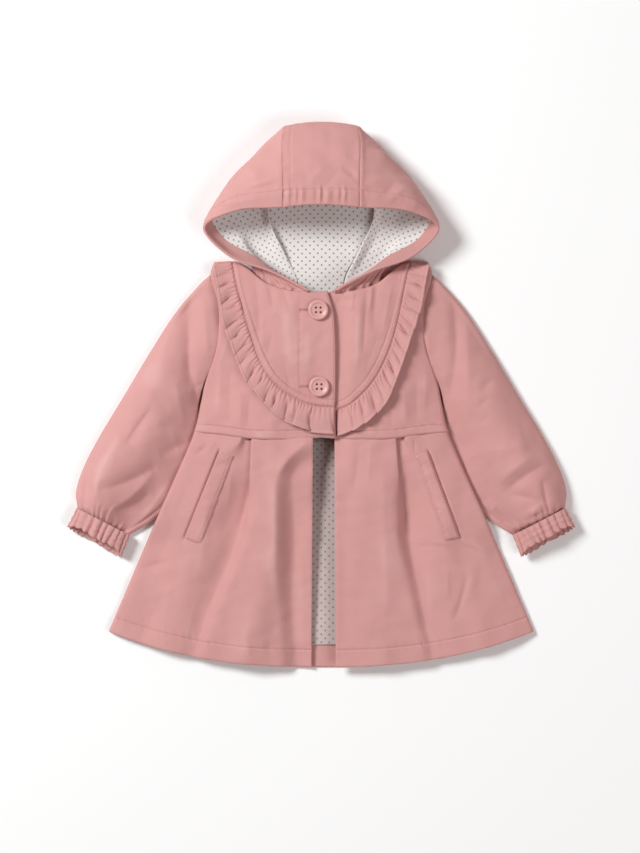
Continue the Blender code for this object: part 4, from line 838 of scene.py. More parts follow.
# ---------------------------------------------------------------- skirt
FRONT_RIDGE = Line(((-6.0, -40.0), (-14.0, -47.0), (-31.0, -63.0), (-42.0, -82.0), (-43.5, -145.0),
                    (-40.0, -205.0), (-36.0, -285.0)))
RIDGE_FALL = 6.8            # of the right front beyond its ridge
SKIRT_ROWS = spaced((0.0, 0.035, 12), (0.035, 0.9, 86), (0.9, 0.945, 16), (0.945, 0.99, 8), (0.99, 1.0, 4))
PLEAT_STATIONS = np.linspace(0.0, len(PLEAT_FOLD) - 1.0, 49)
SIDE_SHARES = spaced((0.0, 0.94, 50), (0.94, 1.0, 14))
FRONT_SHARES = spaced((0.0, 0.04, 5), (0.04, 1.0, 38))


def skirt_plan(side, v):
    """Plan x and drop of a skirt front, rows by columns, from its front edge to its side seam."""
    v = v[:, None]
    sign = 1.0 if side == "left" else -1.0
    level = mix(-44.0, HEM_LOW, v)
    parted = 1.0 - ramp(PLEAT_PARTS[1], PLEAT_PARTS[0], level)
    opened = 1.0 - ramp(PLEAT_OPENS[1], PLEAT_OPENS[0], level)
    step = ramp(PLEAT_FLATTENS[1], PLEAT_FLATTENS[0], level)
    fold = Smooth(range(len(PLEAT_FOLD)), PLEAT_FOLD)(PLEAT_STATIONS)
    away = mix(mix(fold[:, 0], fold[:, 2], parted), fold[:, 4], opened)
    drop = mix(mix(fold[:, 1], fold[:, 3], parted), fold[:, 5], opened) * step
    fold_x = pleat_x[side](level) - sign * away
    seam = edge_x(mix(SIDE_TOP, SIDE_FOOT, v))
    seam = MIRROR - seam if side == "left" else seam
    front = mix(mix(*SKIRT_EDGE[side], v), fold_x[:, :1], FRONT_SHARES)
    outer = mix(fold_x[:, -1:], seam, SIDE_SHARES)
    outer_drop = drop[:, -1:] * (1.0 - ramp(0.0, mix(0.1, 0.6, ramp(0.0, 0.16, v)), SIDE_SHARES))
    x = np.hstack((front[:, :-1], fold_x, outer[:, 1:]))
    return x, np.hstack((np.zeros_like(front[:, :-1]), drop, outer_drop[:, 1:]))


def skirt_surface(side, x, y):
    """Height of a skirt front with its broad folds."""
    height = front_surface(x, y)
    for top, foot, x_top, x_foot, width, rise in SKIRT_FOLDS[side]:
        share = (y - top) / (foot - top)
        aside = (x - mix(x_top, x_foot, share)) / width
        height = height + rise * ramp(0.0, 0.25, share) * np.exp(-aside ** 2)
    outwards = (x - pleat_x[side](y)) * (1.0 if side == "left" else -1.0)
    depth = PLEAT_VALLEY * ramp(-60.0, -125.0, y) * (1.0 - 0.55 * ramp(-215.0, -275.0, y))
    wide = np.where(outwards < 4.0, 0.45, 1.15) * PLEAT_VALLEY_WIDTH
    height = height - depth * np.exp(-((outwards - 4.0) / wide) ** 2)
    if side == "right":
        aside = FRONT_RIDGE.measure(x, y)[0]
        height = height - RIDGE_FALL * ramp(-2.5, 14.0, aside) * (1.0 - 0.4 * ramp(14.0, 34.0, aside))
    shown = ramp(0.0, 16.0, from_side(x, y)) * (1.0 - ramp(-75.0, -38.0, y))
    return mix(front_surface(x, y), height, shown) - underlap(side, x) * ramp(-95.0, -50.0, y)


def hem_row(side):
    """The stitches along a front's hem."""
    front = SKIRT_EDGE[side][1]
    seam = edge_x(SIDE_FOOT + HEM_DEPTH)
    x = np.linspace(front, MIRROR - seam if side == "left" else seam, 60)
    return Line(stacked(x, hem_y(x) + HEM_DEPTH))


def slit(side, x, y):
    """The shadowed opening along a welt's outer edge."""
    top, foot = np.array(WELT[side])[[0, 3]]
    out = (top - np.array(WELT[side])[1]) / np.linalg.norm(top - np.array(WELT[side])[1])
    beside = Line((top + 0.7 * out, foot + 0.7 * out), 8)
    return groove(beside.measure(x, y)[0], 2.6, 1.3)


def skirt_relief(side, x, y):
    """A front's creases, with its turned and stitched hem and the slit beside its welt."""
    aside, along = hem_row(side).measure(x, y)
    seed = 1.0 if side == "left" else 2.0
    hem = sewn(aside, along, seed, pucker=0.34, pitch=8.5)
    turned_up = 0.35 * ramp(HEM_DEPTH, HEM_DEPTH - 1.5, y - hem_y(x))
    return relief_of(f"skirt_{side}", x, y, seed) + hem + turned_up + slit(side, x, y)


def skirt_points(side):
    """A skirt front, and how much paler each place is painted: painted highlight on its crests, partly wear.
    """
    v = SKIRT_ROWS
    x, drop = skirt_plan(side, v)
    y = mix(waist_y(x[0]), hem_y(x[-1]), v[:, None])
    rippled = 0.35 * uneven(y, 13.0, 3.0) * np.exp(-np.abs(x - x[:, :1]) / 4.0)
    tucked = np.exp(-((v / 0.007) ** 2))[:, None]
    points = stacked(x, y + 2.2 * tucked, skirt_surface(side, x, y) - drop)
    relief = skirt_relief(side, x, y) + rippled * ramp(-60.0, -110.0, y)
    relief += into_seams(points, ("first row",), 1.3, 1.6) + into_seams(points, ("last row",), 0.5, 1.0)
    relief += into_seams(points, ("first column",), 0.4, 1.2)
    # crests painted paler by their height: painted highlight, partly wear
    return lifted(points, relief), ramp(0.5, 2.4, relief)


class COAT_OT_skirt(bpy.types.Operator):
    """Make the skirt's fronts, back and the back's lining"""
    bl_idname = "coat.skirt"
    bl_label = "Skirt"

    def execute(self, context):
        twill = finish_named("twill")
        for side in SIDES:
            points, wear_and_painted_highlight = skirt_points(side)
            cloth(f"skirt_front_{side}_cloth", points, twill, f"skirt_front_{side}", flip=side == "left",
                  wear_and_painted_highlight=wear_and_painted_highlight)
        v = spaced((0.0, 0.88, 36), (0.88, 0.94, 10), (0.94, 1.0, 8))[:, None]
        u = spaced((0.0, 0.03, 6), (0.03, 0.97, 72), (0.97, 1.0, 6))
        level = mix(SIDE_TOP, SIDE_FOOT, v)
        x = mix(edge_x(level), MIRROR - edge_x(level), u)
        y = mix(waist_y(x[0]), hem_y(x[-1]), v)
        back = stacked(x, y, back_lift(x, y))
        cloth("skirt_back_cloth", back, twill, "skirt_back", wall=CLOTH)
        shown = v[:, 0] < 1.0 - BACK_HEM_DEPTH / SKIRT_LENGTH
        lining = back[shown][:, 6:-6] + np.array((0.0, 0.0, CLOTH + 1.1))
        # the skirt's lining takes the darker colour: painted shade and a painted pink reflection
        cloth("skirt_back_lining_cloth", lining, finish_named("skirt lining with painted shade"), "skirt_back_lining",
              wall=0.6, flip=True)
        return {"FINISHED"}


# ---------------------------------------------------------------- bodice and yoke
def bodice_outline(side, s):
    """Armhole and side seam down to the waist, then along the waist to the front edge."""
    y = mix(133.0, SIDE_TOP, np.minimum(s / 0.5, 1.0))
    x = edge_x(y)
    end = 15.5 if side == "right" else MIRROR - UNDERLAP_EDGE
    waist_x = mix(edge_x(SIDE_TOP), end, np.maximum((s - 0.5) / 0.5, 0.0))
    x = np.where(s <= 0.5, x, waist_x)
    y = np.where(s <= 0.5, y, waist_y(x if side == "right" else MIRROR - x))
    return stacked(MIRROR - x if side == "left" else x, y)


WAIST_BAND = 8.4            # of the bodice's pressed lower edge, stitched along its top


def waist_row(side):
    """The stitches along the top of the pressed edge."""
    reach = edge_x(SIDE_TOP + WAIST_BAND) + 0.5
    end = 14.0 if side == "right" else MIRROR - 16.5
    x = np.linspace(reach, end, 60)
    line = stacked(x, waist_y(x) + WAIST_BAND)
    return Line(mirrored(line) if side == "left" else line)


def bodice_relief(side, x, y):
    """A bodice front's creases and its stitched lower edge."""
    aside, along = waist_row(side).measure(x, y)
    band = sewn(aside, along, 4.0, depth=0.5, pucker=0.22, pitch=9.0)
    pressed = 0.45 * ramp(WAIST_BAND, WAIST_BAND - 1.2, y - waist_y(x))
    return relief_of(f"bodice_{side}", x, y, 3.0) + band + pressed


def bodice_points(side):
    """A bodice front, from the yoke's seam out to the armhole and the waist."""
    s = spaced((0.0, 0.5, 76), (0.5, 1.0, 76))
    across = spaced((0.0, 0.8, 38), (0.8, 1.0, 30))
    share = np.where(s <= 0.5, mix(0.0, 0.66, s / 0.5), mix(0.66, 1.0, (s - 0.5) / 0.5))
    inner = path(YOKE_SEAM[side])(share)
    plan = mix(inner, bodice_outline(side, s), across[:, None, None])
    x = plan[..., 0]
    y = plan[..., 1]
    points = stacked(x, y, bodice_surface(side, x, y))
    relief = bodice_relief(side, x, y) + into_seams(points, ("last row",), 1.2, 1.6)
    # crests painted paler by their height: painted highlight, partly wear
    return lifted(points, relief), ramp(0.3, 1.6, relief)


def yoke_surface(side, x, y):
    return bodice_surface(side, x, y) + YOKE_STEP


YOKE_BAND = 7.6             # of the seam allowance stitched down inside the yoke
PLACKET_X = -20.4           # of the stitches along the right front's placket
BUTTONHOLE = (-19.6, -11.4) # x of its ends


def yoke_seam_line(side):
    return Line(YOKE_SEAM[side] if side == "right" else YOKE_SEAM[side][:-1])


def yoke_row(side, inset=YOKE_BAND):
    """Stitches inside the yoke's seam; the band narrows towards the shoulder."""
    line = yoke_seam_line(side)
    share = np.linspace(0.0, 1.0, len(line.points))[:, None]
    inwards = inset if side == "right" else -inset
    return line.shifted(inwards * mix(0.72, 1.0, ramp(0.1, 0.6, share)))


def placket_row():
    """The stitches that hold the placket's facing."""
    return Line(((PLACKET_X, 84.0), (PLACKET_X - 0.6, 40.0), (PLACKET_X, 1.0)), 30)


def yoke_relief(side, x, y):
    """A yoke's creases, its seam with the stitched band inside it, and its placket."""
    seed = 5.0 if side == "right" else 6.0
    aside, along = yoke_row(side).measure(x, y)
    from_seam = np.abs(yoke_seam_line(side).measure(x, y)[0])
    height = sewn(aside, along, seed, depth=0.5, pucker=0.16, pitch=5.5)
    height += 0.55 * ramp(YOKE_BAND, YOKE_BAND - 2.2, from_seam) - 1.5 * np.exp(-(from_seam / 1.5) ** 2)
    height += 0.16 * uneven(along, 3.7, seed) * ramp(YOKE_BAND + 1.0, 2.0, from_seam)
    if side == "right":
        aside, along = placket_row().measure(x, y)
        height += sewn(aside, along, 7.0, depth=0.4, pucker=0.14, pitch=10.0)
        for _, place in BUTTON_PLACES.values():
            near = np.exp(-((y - place) / 1.0) ** 2) * ramp(BUTTONHOLE[0] - 1.0, BUTTONHOLE[0], x)
            height -= 0.9 * near * ramp(BUTTONHOLE[1] + 2.0, BUTTONHOLE[1], x)
    return height + relief_of(f"yoke_{side}", x, y, 4.0)


def yoke_points(side):
    """A yoke: a patch between its neckline, its seam and its front edge."""
    seam = path(YOKE_SEAM[side])
    corner = YOKE_CORNER[side]
    u = spaced((0.0, 0.15, 22), (0.15, 1.0, 76))[None, :, None]
    v = spaced((0.0, 0.85, 94), (0.85, 1.0, 28))[:, None, None]
    top = path(NECKLINE[side])(u[..., 0])
    foot = seam(mix(corner, 1.0, u[..., 0]))
    outer = seam(corner * v[..., 0])
    if side == "left":
        ends = np.array(((UNDERLAP_EDGE, 103.0), (UNDERLAP_EDGE, -18.0)))
        front = mix(ends[0], ends[1], v)
    else:
        ends = np.array((FRONT_EDGE[0], FRONT_EDGE[-1]))
        front = path(FRONT_EDGE)(v[..., 0])
    flat = mix(mix(seam(0.0), ends[0], u), mix(seam(corner), ends[1], u), v)
    spot = mix(top, foot, v) + mix(outer, front, u) - flat
    x = spot[..., 0]
    y = spot[..., 1]
    points = stacked(x, y, yoke_surface(side, x, y))
    relief = yoke_relief(side, x, y) + into_seams(points, ("first row",), 1.2, 1.8)
    if side == "right":
        relief += into_seams(points, ("last column",), 0.6, 1.2)
    # crests painted paler by their height: painted highlight, partly wear
    return lifted(points, relief), ramp(0.3, 1.5, relief)


class COAT_OT_bodice(bpy.types.Operator):
    """Make the bodice's fronts and back, and the yoke"""
    bl_idname = "coat.bodice"
    bl_label = "Bodice and yoke"

    def execute(self, context):
        twill = finish_named("twill")
        for side in SIDES:
            points, wear_and_painted_highlight = bodice_points(side)
            cloth(f"bodice_front_{side}_cloth", points, twill, f"bodice_front_{side}", flip=side == "left",
                  wear_and_painted_highlight=wear_and_painted_highlight)
            points, wear_and_painted_highlight = yoke_points(side)
            cloth(f"yoke_{side}_cloth", points, twill, f"yoke_{side}", flip=side == "right",
                  wear_and_painted_highlight=wear_and_painted_highlight)
        shoulder = BACK_NECK + tuple(map(tuple, mirrored(BACK_NECK[:-1])[::-1]))
        u = np.linspace(0.0, 1.0, 70)
        v = np.linspace(0.0, 1.0, 48)[:, None]
        top = path(shoulder)(u)
        y = mix(SIDE_TOP, 133.0, v)
        reach = edge_x(y) + SEAM_ROOM * ramp(-20.0, 0.0, y)
        across = mix(reach, MIRROR - reach, u)
        level = mix(waist_y(across), y, v)
        foot = waist_y(mix(edge_x(SIDE_TOP), MIRROR - edge_x(SIDE_TOP), u))
        x = mix(across, mix(across, top[:, 0], v), v * v)
        y = mix(level, mix(foot, top[:, 1], v), v)
        cloth("bodice_back_cloth", stacked(x, y, back_lift(x, level)), twill, "bodice_back", wall=CLOTH,
              flip=True)
        return {"FINISHED"}


# ---------------------------------------------------------------- ruffle and welts
RUFFLE_STEPS = 20           # columns a wave
RUFFLE_CURL = 0.29          # how far a wave's flanks lean over its valleys, as a share of its width
RUFFLE_LIFT = 1.9           # of the ruffle's seam above the bodice
GATHER_PITCH = 4.1          # of the fine gathers at its seam


def ruffle_points(side):
    """Full waves that curl under at the free edge and die out in fine gathers at the seam."""
    seam = path(YOKE_SEAM[side])
    waves = np.array(RUFFLE_WAVES[side], float)
    starts = np.concatenate(([0.0], np.cumsum(waves[:, 0]))) / waves[:, 0].sum()
    s = np.concatenate([np.linspace(low, high, RUFFLE_STEPS, endpoint=False)
                        for low, high in zip(starts, starts[1:])] + [[1.0]])
    which = np.clip(np.searchsorted(starts, s, side="right") - 1, 0, len(waves) - 1)
    phase = (s - starts[which]) / (starts[which + 1] - starts[which])
    share = s * RUFFLE_END[side]
    ahead = seam(np.minimum(share + 0.01, 1.0)) - seam(np.maximum(share - 0.01, 0.0))
    ahead /= np.linalg.norm(ahead, axis=1)[:, None]
    across = spaced((0.0, 0.12, 5), (0.12, 0.9, 18), (0.9, 1.0, 6))[:, None]
    dome = np.sin(math.pi * phase) ** 0.8
    outer = path(RUFFLE_EDGE[side])(s)
    long = np.linalg.norm(np.gradient(outer, axis=0), axis=1) * RUFFLE_STEPS
    still = ramp(0.0, 0.02, s) * ramp(1.0, 0.965, s)
    notch = (1.0 - dome) ** 2
    pulled = across * (1.0 - 0.24 * notch * across ** 2 * still)
    plan = mix(seam(share), outer, pulled[..., None])
    bend = 1.2 * np.sin(2.0 * which + 3.0 * across) * across * (1.0 - across) * 4.0
    curl = RUFFLE_CURL * long * np.sin(2.0 * math.pi * phase) * across ** 2.6
    sway = waves[which, 2] * np.sin(math.pi * phase) * 1.3 * across + bend - curl
    plan = plan + (sway * still)[..., None] * ahead
    x = plan[..., 0]
    y = plan[..., 1]
    lift = waves[which, 1] * 1.4 * dome * across ** 1.25 * mix(1.0, still, 0.6)
    lift = lift - 0.9 * notch * across * (1.0 - across) * 2.0
    along = share * np.linalg.norm(np.diff(YOKE_SEAM[side], axis=0), axis=1).sum()
    tick = np.abs(np.sin(math.pi * along / GATHER_PITCH + 0.9 * np.sin(along / 5.3))) ** 0.6 - 0.6
    reach = 0.26 + 0.10 * np.sin(along / 3.1) + 0.07 * np.sin(along / 1.7)
    gathers = 1.5 * tick * np.exp(-(np.maximum(across - 0.06, 0.0) / reach) ** 2) * ramp(0.0, 0.08, across)
    gathers = gathers + 0.7 * uneven(along, 7.3, 8.0) * across * (1.0 - across) * 2.5
    hem = -0.35 * np.exp(-((across - 0.9) / 0.018) ** 2) - 0.5 * np.exp(-((1.0 - across) / 0.012) ** 2)
    base = bodice_surface(side, x, y) + RUFFLE_LIFT - 1.0 * np.exp(-(across / 0.06) ** 2)
    points = stacked(x, y, base + lift + gathers + hem)
    # the tops of the waves are painted paler: painted highlight, partly wear
    return points, np.broadcast_to(0.5 * dome * across, lift.shape)


WELT_RISE = 0.6             # of a welt's face over the skirt
WELT_STITCHES = 2.6         # their distance from its inner edge


def welt_points(side):
    """A pocket's welt, lying on the skirt's finished cloth."""
    corners = np.array(WELT[side])
    u = spaced((0.0, 0.25, 9), (0.25, 0.75, 8), (0.75, 1.0, 9))[None, :, None]
    v = spaced((0.0, 0.05, 9), (0.05, 0.95, 80), (0.95, 1.0, 9))[:, None, None]
    plan = mix(mix(corners[0], corners[1], u), mix(corners[3], corners[2], u), v)
    x = plan[..., 0]
    y = plan[..., 1]
    under = [f"skirt_front_{side}_cloth"]
    ground = [cloth_below(under, *spot)[0][2] for spot in zip(x.ravel(), y.ravel())]
    points = stacked(x, y, np.reshape(ground, x.shape) + WELT_RISE)
    across, down = lengths_of(points)
    relief = into_seams(points, ("first column", "last column", "first row", "last row"), 0.9, 1.3)
    inner_row = across[:, -1:] - across - WELT_STITCHES
    relief = relief + sewn(inner_row, down, 9.0, depth=0.45, pucker=0.18, pitch=8.0)
    relief += 0.28 * uneven(down + 0.6 * across, 17.0, 10.0) * ramp(0.0, 5.0, across)
    # crests painted paler by their height: painted highlight, partly wear
    return lifted(points, relief), ramp(0.0, 0.8, relief)


class COAT_OT_trim(bpy.types.Operator):
    """Make the ruffle in the yoke's seam and the pocket welts"""
    bl_idname = "coat.trim"
    bl_label = "Ruffle and welts"

    def execute(self, context):
        twill = finish_named("twill")
        for side in SIDES:
            points, wear_and_painted_highlight = ruffle_points(side)
            cloth(f"ruffle_{side}_cloth", points, twill, f"ruffle_{side}", wall=0.6, flip=side == "left",
                  wear_and_painted_highlight=wear_and_painted_highlight)
            points, wear_and_painted_highlight = welt_points(side)
            cloth(f"pocket_welt_{side}_cloth", points, twill, f"pocket_welt_{side}", flip=side == "left",
                  wear_and_painted_highlight=wear_and_painted_highlight)
        return {"FINISHED"}


# ---------------------------------------------------------------- sleeves and cuffs
def sleeve_rings():
    """Shares across the sleeve and whether each lies in the upper layer, once round."""
    turn = np.linspace(0.0, 1.0, 76)
    top = mix(turn, 0.5 - 0.5 * np.cos(math.pi * turn), 0.6)
    turn = np.linspace(0.0, 1.0, 26)
    under = mix(turn, 0.5 - 0.5 * np.cos(math.pi * turn), 0.8)[::-1]
    return np.concatenate((top, under[1:])), np.concatenate((np.ones(len(top)), np.zeros(len(under) - 1)))


def sleeve_points(side):
    """A sleeve, all round."""
    v = spaced((0.0, 0.78, 86), (0.78, 1.0, 58))[:, None]
    s, upper = sleeve_rings()
    outer = path(SLEEVE_OUTER)(v[:, 0])[:, None]
    inner = path(SLEEVE_INNER)(v[:, 0])[:, None]
    width = np.linalg.norm(outer - inner, axis=-1)
    armhole = path(ARMHOLE)(s)
    start = mix(np.array(SLEEVE_OUTER[0]), np.array(SLEEVE_INNER[0]), s[:, None])
    plan = mix(outer, inner, s[:, None]) + (armhole[:, :2] - start) * (1.0 - ramp(0.0, 0.35, v))[..., None]
    height = Smooth(*zip(*SLEEVE_HEIGHT))(v)
    rising = np.sin(math.pi / 2.0 * np.minimum(s / SLEEVE_CREST, 1.0)) ** 0.8
    falling = 0.5 + 0.5 * np.cos(math.pi * np.maximum(s - SLEEVE_CREST, 0.0) / (1.0 - SLEEVE_CREST))
    profile = np.where(s < SLEEVE_CREST, rising, falling)
    edge = np.minimum(s, 1.0 - s) * width
    turned = quarter(edge / SLEEVE_TURN)
    z = SLEEVE_EDGE * (1.0 + turned) + (height - 2.0 * SLEEVE_EDGE) * profile
    z = mix(z, mix(SLEEVE_EDGE, armhole[:, 2], turned), 1.0 - ramp(0.0, 0.22, v))
    tucked = np.exp(-((v / 0.016) ** 2)) * upper * ramp(0.0, 0.1, s) * ramp(1.0, 0.975, s)
    z = z - 1.4 * tucked
    points = stacked(plan[..., 0] + (3.0 + 3.0 * ramp(0.6, 0.9, s)) * tucked, plan[..., 1], z)
    if side == "left":
        points = mirrored(points)
    x = points[..., 0]
    y = points[..., 1]
    inside = ramp(0.0, 9.0, edge)
    relief = relief_of(f"sleeve_{side}", x, y, 5.0 if side == "left" else 6.0)
    seed = 11.0 if side == "right" else 12.0
    bunch = 2.0 * math.pi * (GATHERS_AT_CUFF * s + 0.35 * np.sin(5.0 * s + seed) + 0.12 * np.sin(17.0 * s))
    reach = 0.90 + 0.05 * np.sin(13.0 * s + seed) + 0.03 * np.sin(31.0 * s)
    gathered = ramp(reach, 1.0, v) ** 1.5
    relief = relief + gathered * (2.3 * np.abs(np.sin(bunch / 2.0)) ** 0.8 - 1.3 + 0.5 * np.sin(2.3 * bunch))
    relief = relief * inside
    relief += -1.1 * np.exp(-((v * 100.0) / 0.9) ** 2) - 1.5 * np.exp(-((1.0 - v) / 0.010) ** 2) * inside
    second = groove(np.abs((1.0 - s) * width - 5.5), 0.9, 1.3) * ramp(0.68, 0.8, v)
    relief = relief + second * ramp(0.0, 3.0, edge)
    under = SLEEVE_EDGE * (1.0 - turned)
    points[..., 2] = np.where(upper > 0.5, np.maximum(z + relief, under + 1.5), under)
    # crests of the upper layer painted paler by their height: painted highlight, partly wear
    return points, np.where(upper > 0.5, ramp(0.8, 2.8, relief), 0.0)


def cuff_points():
    """The right cuff, all round: elastic gathers it into uneven ribs."""
    angle = np.linspace(0.0, 2.0 * math.pi, CUFF_RIBS * 12 + 1)
    v = spaced((0.0, 0.12, 5), (0.12, 0.88, 12), (0.88, 1.0, 5))[:, None]
    half = (0.5 - 0.5 * np.cos(angle))[:, None]
    rise = np.sin(angle)
    first = np.array((SLEEVE_OUTER[-1], SLEEVE_INNER[-1]))
    mouth = np.array(CUFF_MOUTH)
    across = (first[1] - first[0]) / np.linalg.norm(first[1] - first[0])
    drift = 0.45 * np.sin(3.0 * angle + 2.0) * (v - 0.5) + 0.4 * np.sin(7.0 * angle) * v * v
    crowding = 0.034 * np.sin(3.0 * angle + 1.0) + 0.012 * np.sin(11.0 * angle)
    phase = CUFF_RIBS * (angle / 2.0 + crowding) + drift
    deep = 1.0 + 0.4 * np.sin(4.0 * angle + 2.0) + 0.3 * np.sin(9.0 * angle + 3.0 * v)
    rib = CUFF_RIB * 2.3 * deep * (np.abs(np.sin(phase)) ** 0.62 - 0.8)
    band = np.exp(-((v - 0.36) / 0.05) ** 2) + 0.8 * np.exp(-((v - 0.68) / 0.05) ** 2)
    rib = rib * mix(0.75, 1.0, ramp(0.0, 0.25, v)) - 0.75 * band
    seam = mix(first[0], first[1], half)
    axis = mix(mouth[0], mouth[1], half) - seam
    setback = CUFF_SETBACK * ramp(-0.6, 1.0, rise) / np.linalg.norm(axis, axis=1)
    scallop = 0.075 * (np.abs(np.sin(phase[-1])) - 0.6) + 0.02 * np.sin(5.0 * angle)
    spot = seam + axis * (v * (1.0 - setback + scallop))[..., None]
    spot = spot - across * (rib * np.cos(angle))[..., None]
    swell = 0.9 + 0.1 * np.sin(math.pi * v)
    z = CUFF_HEIGHT / 2.0 * (1.0 + rise * swell) + rib * np.maximum(rise, 0.0)
    z = np.where(rise < 0.0, np.maximum(z - np.maximum(-rib, 0.0) * rise, 0.0), z)
    # the crests of the ribs are painted paler: painted highlight, partly wear
    return stacked(spot[..., 0], spot[..., 1], np.maximum(z, 0.0)), ramp(-0.2, 0.9, rib)


class COAT_OT_sleeves(bpy.types.Operator):
    """Make the sleeves and their gathered cuffs"""
    bl_idname = "coat.sleeves"
    bl_label = "Sleeves"

    def execute(self, context):
        twill = finish_named("twill")
        cuff, cuff_wear_and_painted_highlight = cuff_points()
        for side in SIDES:
            turned = side == "left"
            points, wear_and_painted_highlight = sleeve_points(side)
            cloth(f"sleeve_{side}_cloth", points, twill, f"sleeve_{side}", ring=True, flip=not turned,
                  wear_and_painted_highlight=wear_and_painted_highlight)
            cloth(f"cuff_{side}_cloth", mirrored(cuff) if turned else cuff, twill, f"cuff_{side}", ring=True,
                  flip=not turned, wear_and_painted_highlight=cuff_wear_and_painted_highlight)
        return {"FINISHED"}


# ---------------------------------------------------------------- hood
FELLED = 8.0                # width of the right crown seam, stitched down on the centre panel
FACING = 0.205              # share of the ribs that the facing inside the face edge reaches
HOOD_BACKS = spaced((0.0, FACE_HEM, 26), (FACE_HEM, 0.24, 22), (0.24, 1.0, 76))
CENTRE_BACKS = np.concatenate((HOOD_BACKS, np.linspace(1.0, 1.0 + NAPE, 13)[1:]))
HOOD_DOWNS = spaced((0.0, 0.06, 12), (0.06, 1.0, 108))
CROWN_ROWS = int(np.sum(HOOD_BACKS < 0.6))  # of either grid, which the crown seams' stitches follow
HEM_ROWS = 26               # of either grid from the face edge to the end of its hem
TUCK_DROPS = ((0.25, 0.7), (0.6, 1.0), (1.0, 1.0))  # shares of the way in and down, under the yoke's edge
# the side lining's fold over the centre one: reach along the cloth, way over, rise, width of its rolled edge
FOLD_REACH = 12.0
FOLD_OVER = 3.0
FOLD_RISE = 7.5
FOLD_ROLL = 1.6
EASINGS = 60                # rounds of evening out the lining's turn


def hood_ribs(w):
    """The right side panel's ribs at shares w from the crown seam to the neck seam."""
    ribs = np.array(HOOD_RIBS)
    return Smooth(np.linspace(0.0, 1.0, ribs.shape[1]), ribs.transpose(1, 0, 2))(w).transpose(1, 0, 2)


def hood_side(t, w):
    """The right side panel: rows t from the face edge back, columns w."""
    spot = Smooth(np.linspace(0.0, 1.0, len(HOOD_RIBS)), hood_ribs(w))(t)
    spot[..., 2] = np.maximum(spot[..., 2], 0.0)
    return spot


def hood_centre(t, u):
    """The centre panel: rows t from the brim over the top fold and down to the nape, columns u."""
    over = t <= 1.0
    seam = hood_side(t[over], np.zeros(1))[:, 0]
    down = hood_side(np.ones(1), (t[~over] - 1.0) / NAPE)[0]
    right = np.concatenate((seam, down))[:, None]
    bulge = Smooth(np.linspace(0.0, 1.0, len(GUSSET_BULGE)), GUSSET_BULGE)(t)[:, None]
    u = u[None, :, None]
    return mix(right, mirrored(right), u) + bulge * 4.0 * u * (1.0 - u)


def face_hem_relief(points, seed, crimped):
    """Stitches along the inner edge of the face hem, with the crimps that they leave in it."""
    across, down = lengths_of(points)
    aside = down - down[HEM_ROWS]
    along = across - across[:, across.shape[1] // 2][:, None]
    hem = ramp(1.5, -1.0, aside)
    crimps = crimped(along) * uneven(along, 8.3, seed) * np.exp(-((aside + 6.0) / 7.0) ** 2)
    return sewn(aside, along, seed, depth=0.6, pucker=0.25, reach=4.0, pitch=8.3) + 0.35 * hem + crimps


def hood_side_panel(side):
    """A side panel's grid, and its relief."""
    turned = side == "left"
    points = hood_side(HOOD_BACKS, HOOD_DOWNS)
    points = mirrored(points) if turned else points
    out = normals_of(points, not turned)
    above = ramp(0.15, 0.5, out[..., 2])
    across, down = lengths_of(points)
    relief = relief_of(f"hood_{side}", points[..., 0], points[..., 1], 7.0) * above * ramp(0.0, 8.0, across)
    relief += face_hem_relief(points, 13.0, lambda along: 0.15)
    share = HOOD_BACKS[:, None]
    at_neck = np.exp(-((across[:, -1:] - across) / 13.0) ** 2)
    gathered = at_neck * ramp(0.62, 0.45, share) * ramp(0.0, 0.05, share)
    relief += 1.7 * uneven(share * 120.0, 9.0, 17.0 if turned else 19.0) * gathered
    relief += into_seams(points, ("first column",), 0.45, 1.2)
    if turned:
        relief += 0.4 * np.exp(-((across - 3.0) / 1.3) ** 2)
        relief += 0.25 * uneven(down, 9.0, 14.0) * np.exp(-(across / 7.0) ** 2)
    return points, relief * ramp(-0.9, -0.4, out[..., 2])


def hood_centre_panel():
    """The centre panel's grid, and its relief."""
    points = hood_centre(CENTRE_BACKS, np.linspace(0.0, 1.0, 80))
    out = normals_of(points, False)
    above = ramp(0.15, 0.5, out[..., 2])
    across, down = lengths_of(points)
    relief = relief_of("hood_centre", points[..., 0], points[..., 1], 8.0) * above
    relief = relief * ramp(0.0, 8.0, across) * ramp(0.0, 8.0, across[:, -1:] - across)
    relief += face_hem_relief(points, 15.0, lambda along: 1.2 * np.exp(-((along + 4.0) / 42.0) ** 4))
    relief += into_seams(points, ("last column",), 0.6, 1.2) + into_seams(points, ("first column",), 0.3, 1.0)
    relief += groove(across - FELLED, 0.4, 0.9) - 0.25 * ramp(FELLED + 0.8, FELLED - 0.8, across)
    relief += 0.22 * uneven(down, 8.0, 16.0) * np.exp(-((across - 4.0) / 7.0) ** 2)
    return points, relief * ramp(-0.9, -0.4, out[..., 2])


def tucked_in(points, side):
    """More columns past the neck seam, which run in under the yoke's edge."""
    end = points[:, -1]
    edge = sorted(NECKLINE[side])
    shown = end[:, 1] + 2.8 - Smooth([spot[0] for spot in edge], [spot[1] for spot in edge])(end[:, 0])
    shown = mix(np.clip(shown, 2.0, 9.0), 0.6, ramp(0.6, 0.75, HOOD_BACKS))
    under = np.minimum(end[:, 2], yoke_surface(side, end[:, 0], end[:, 1] - shown) - 1.6)
    under = mix(under, end[:, 2], ramp(0.6, 0.75, HOOD_BACKS))
    more = [stacked(end[:, 0], end[:, 1] - shown * out, mix(end[:, 2], under, down))
            for out, down in TUCK_DROPS]
    return np.concatenate((points, np.stack(more, axis=1)), axis=1)


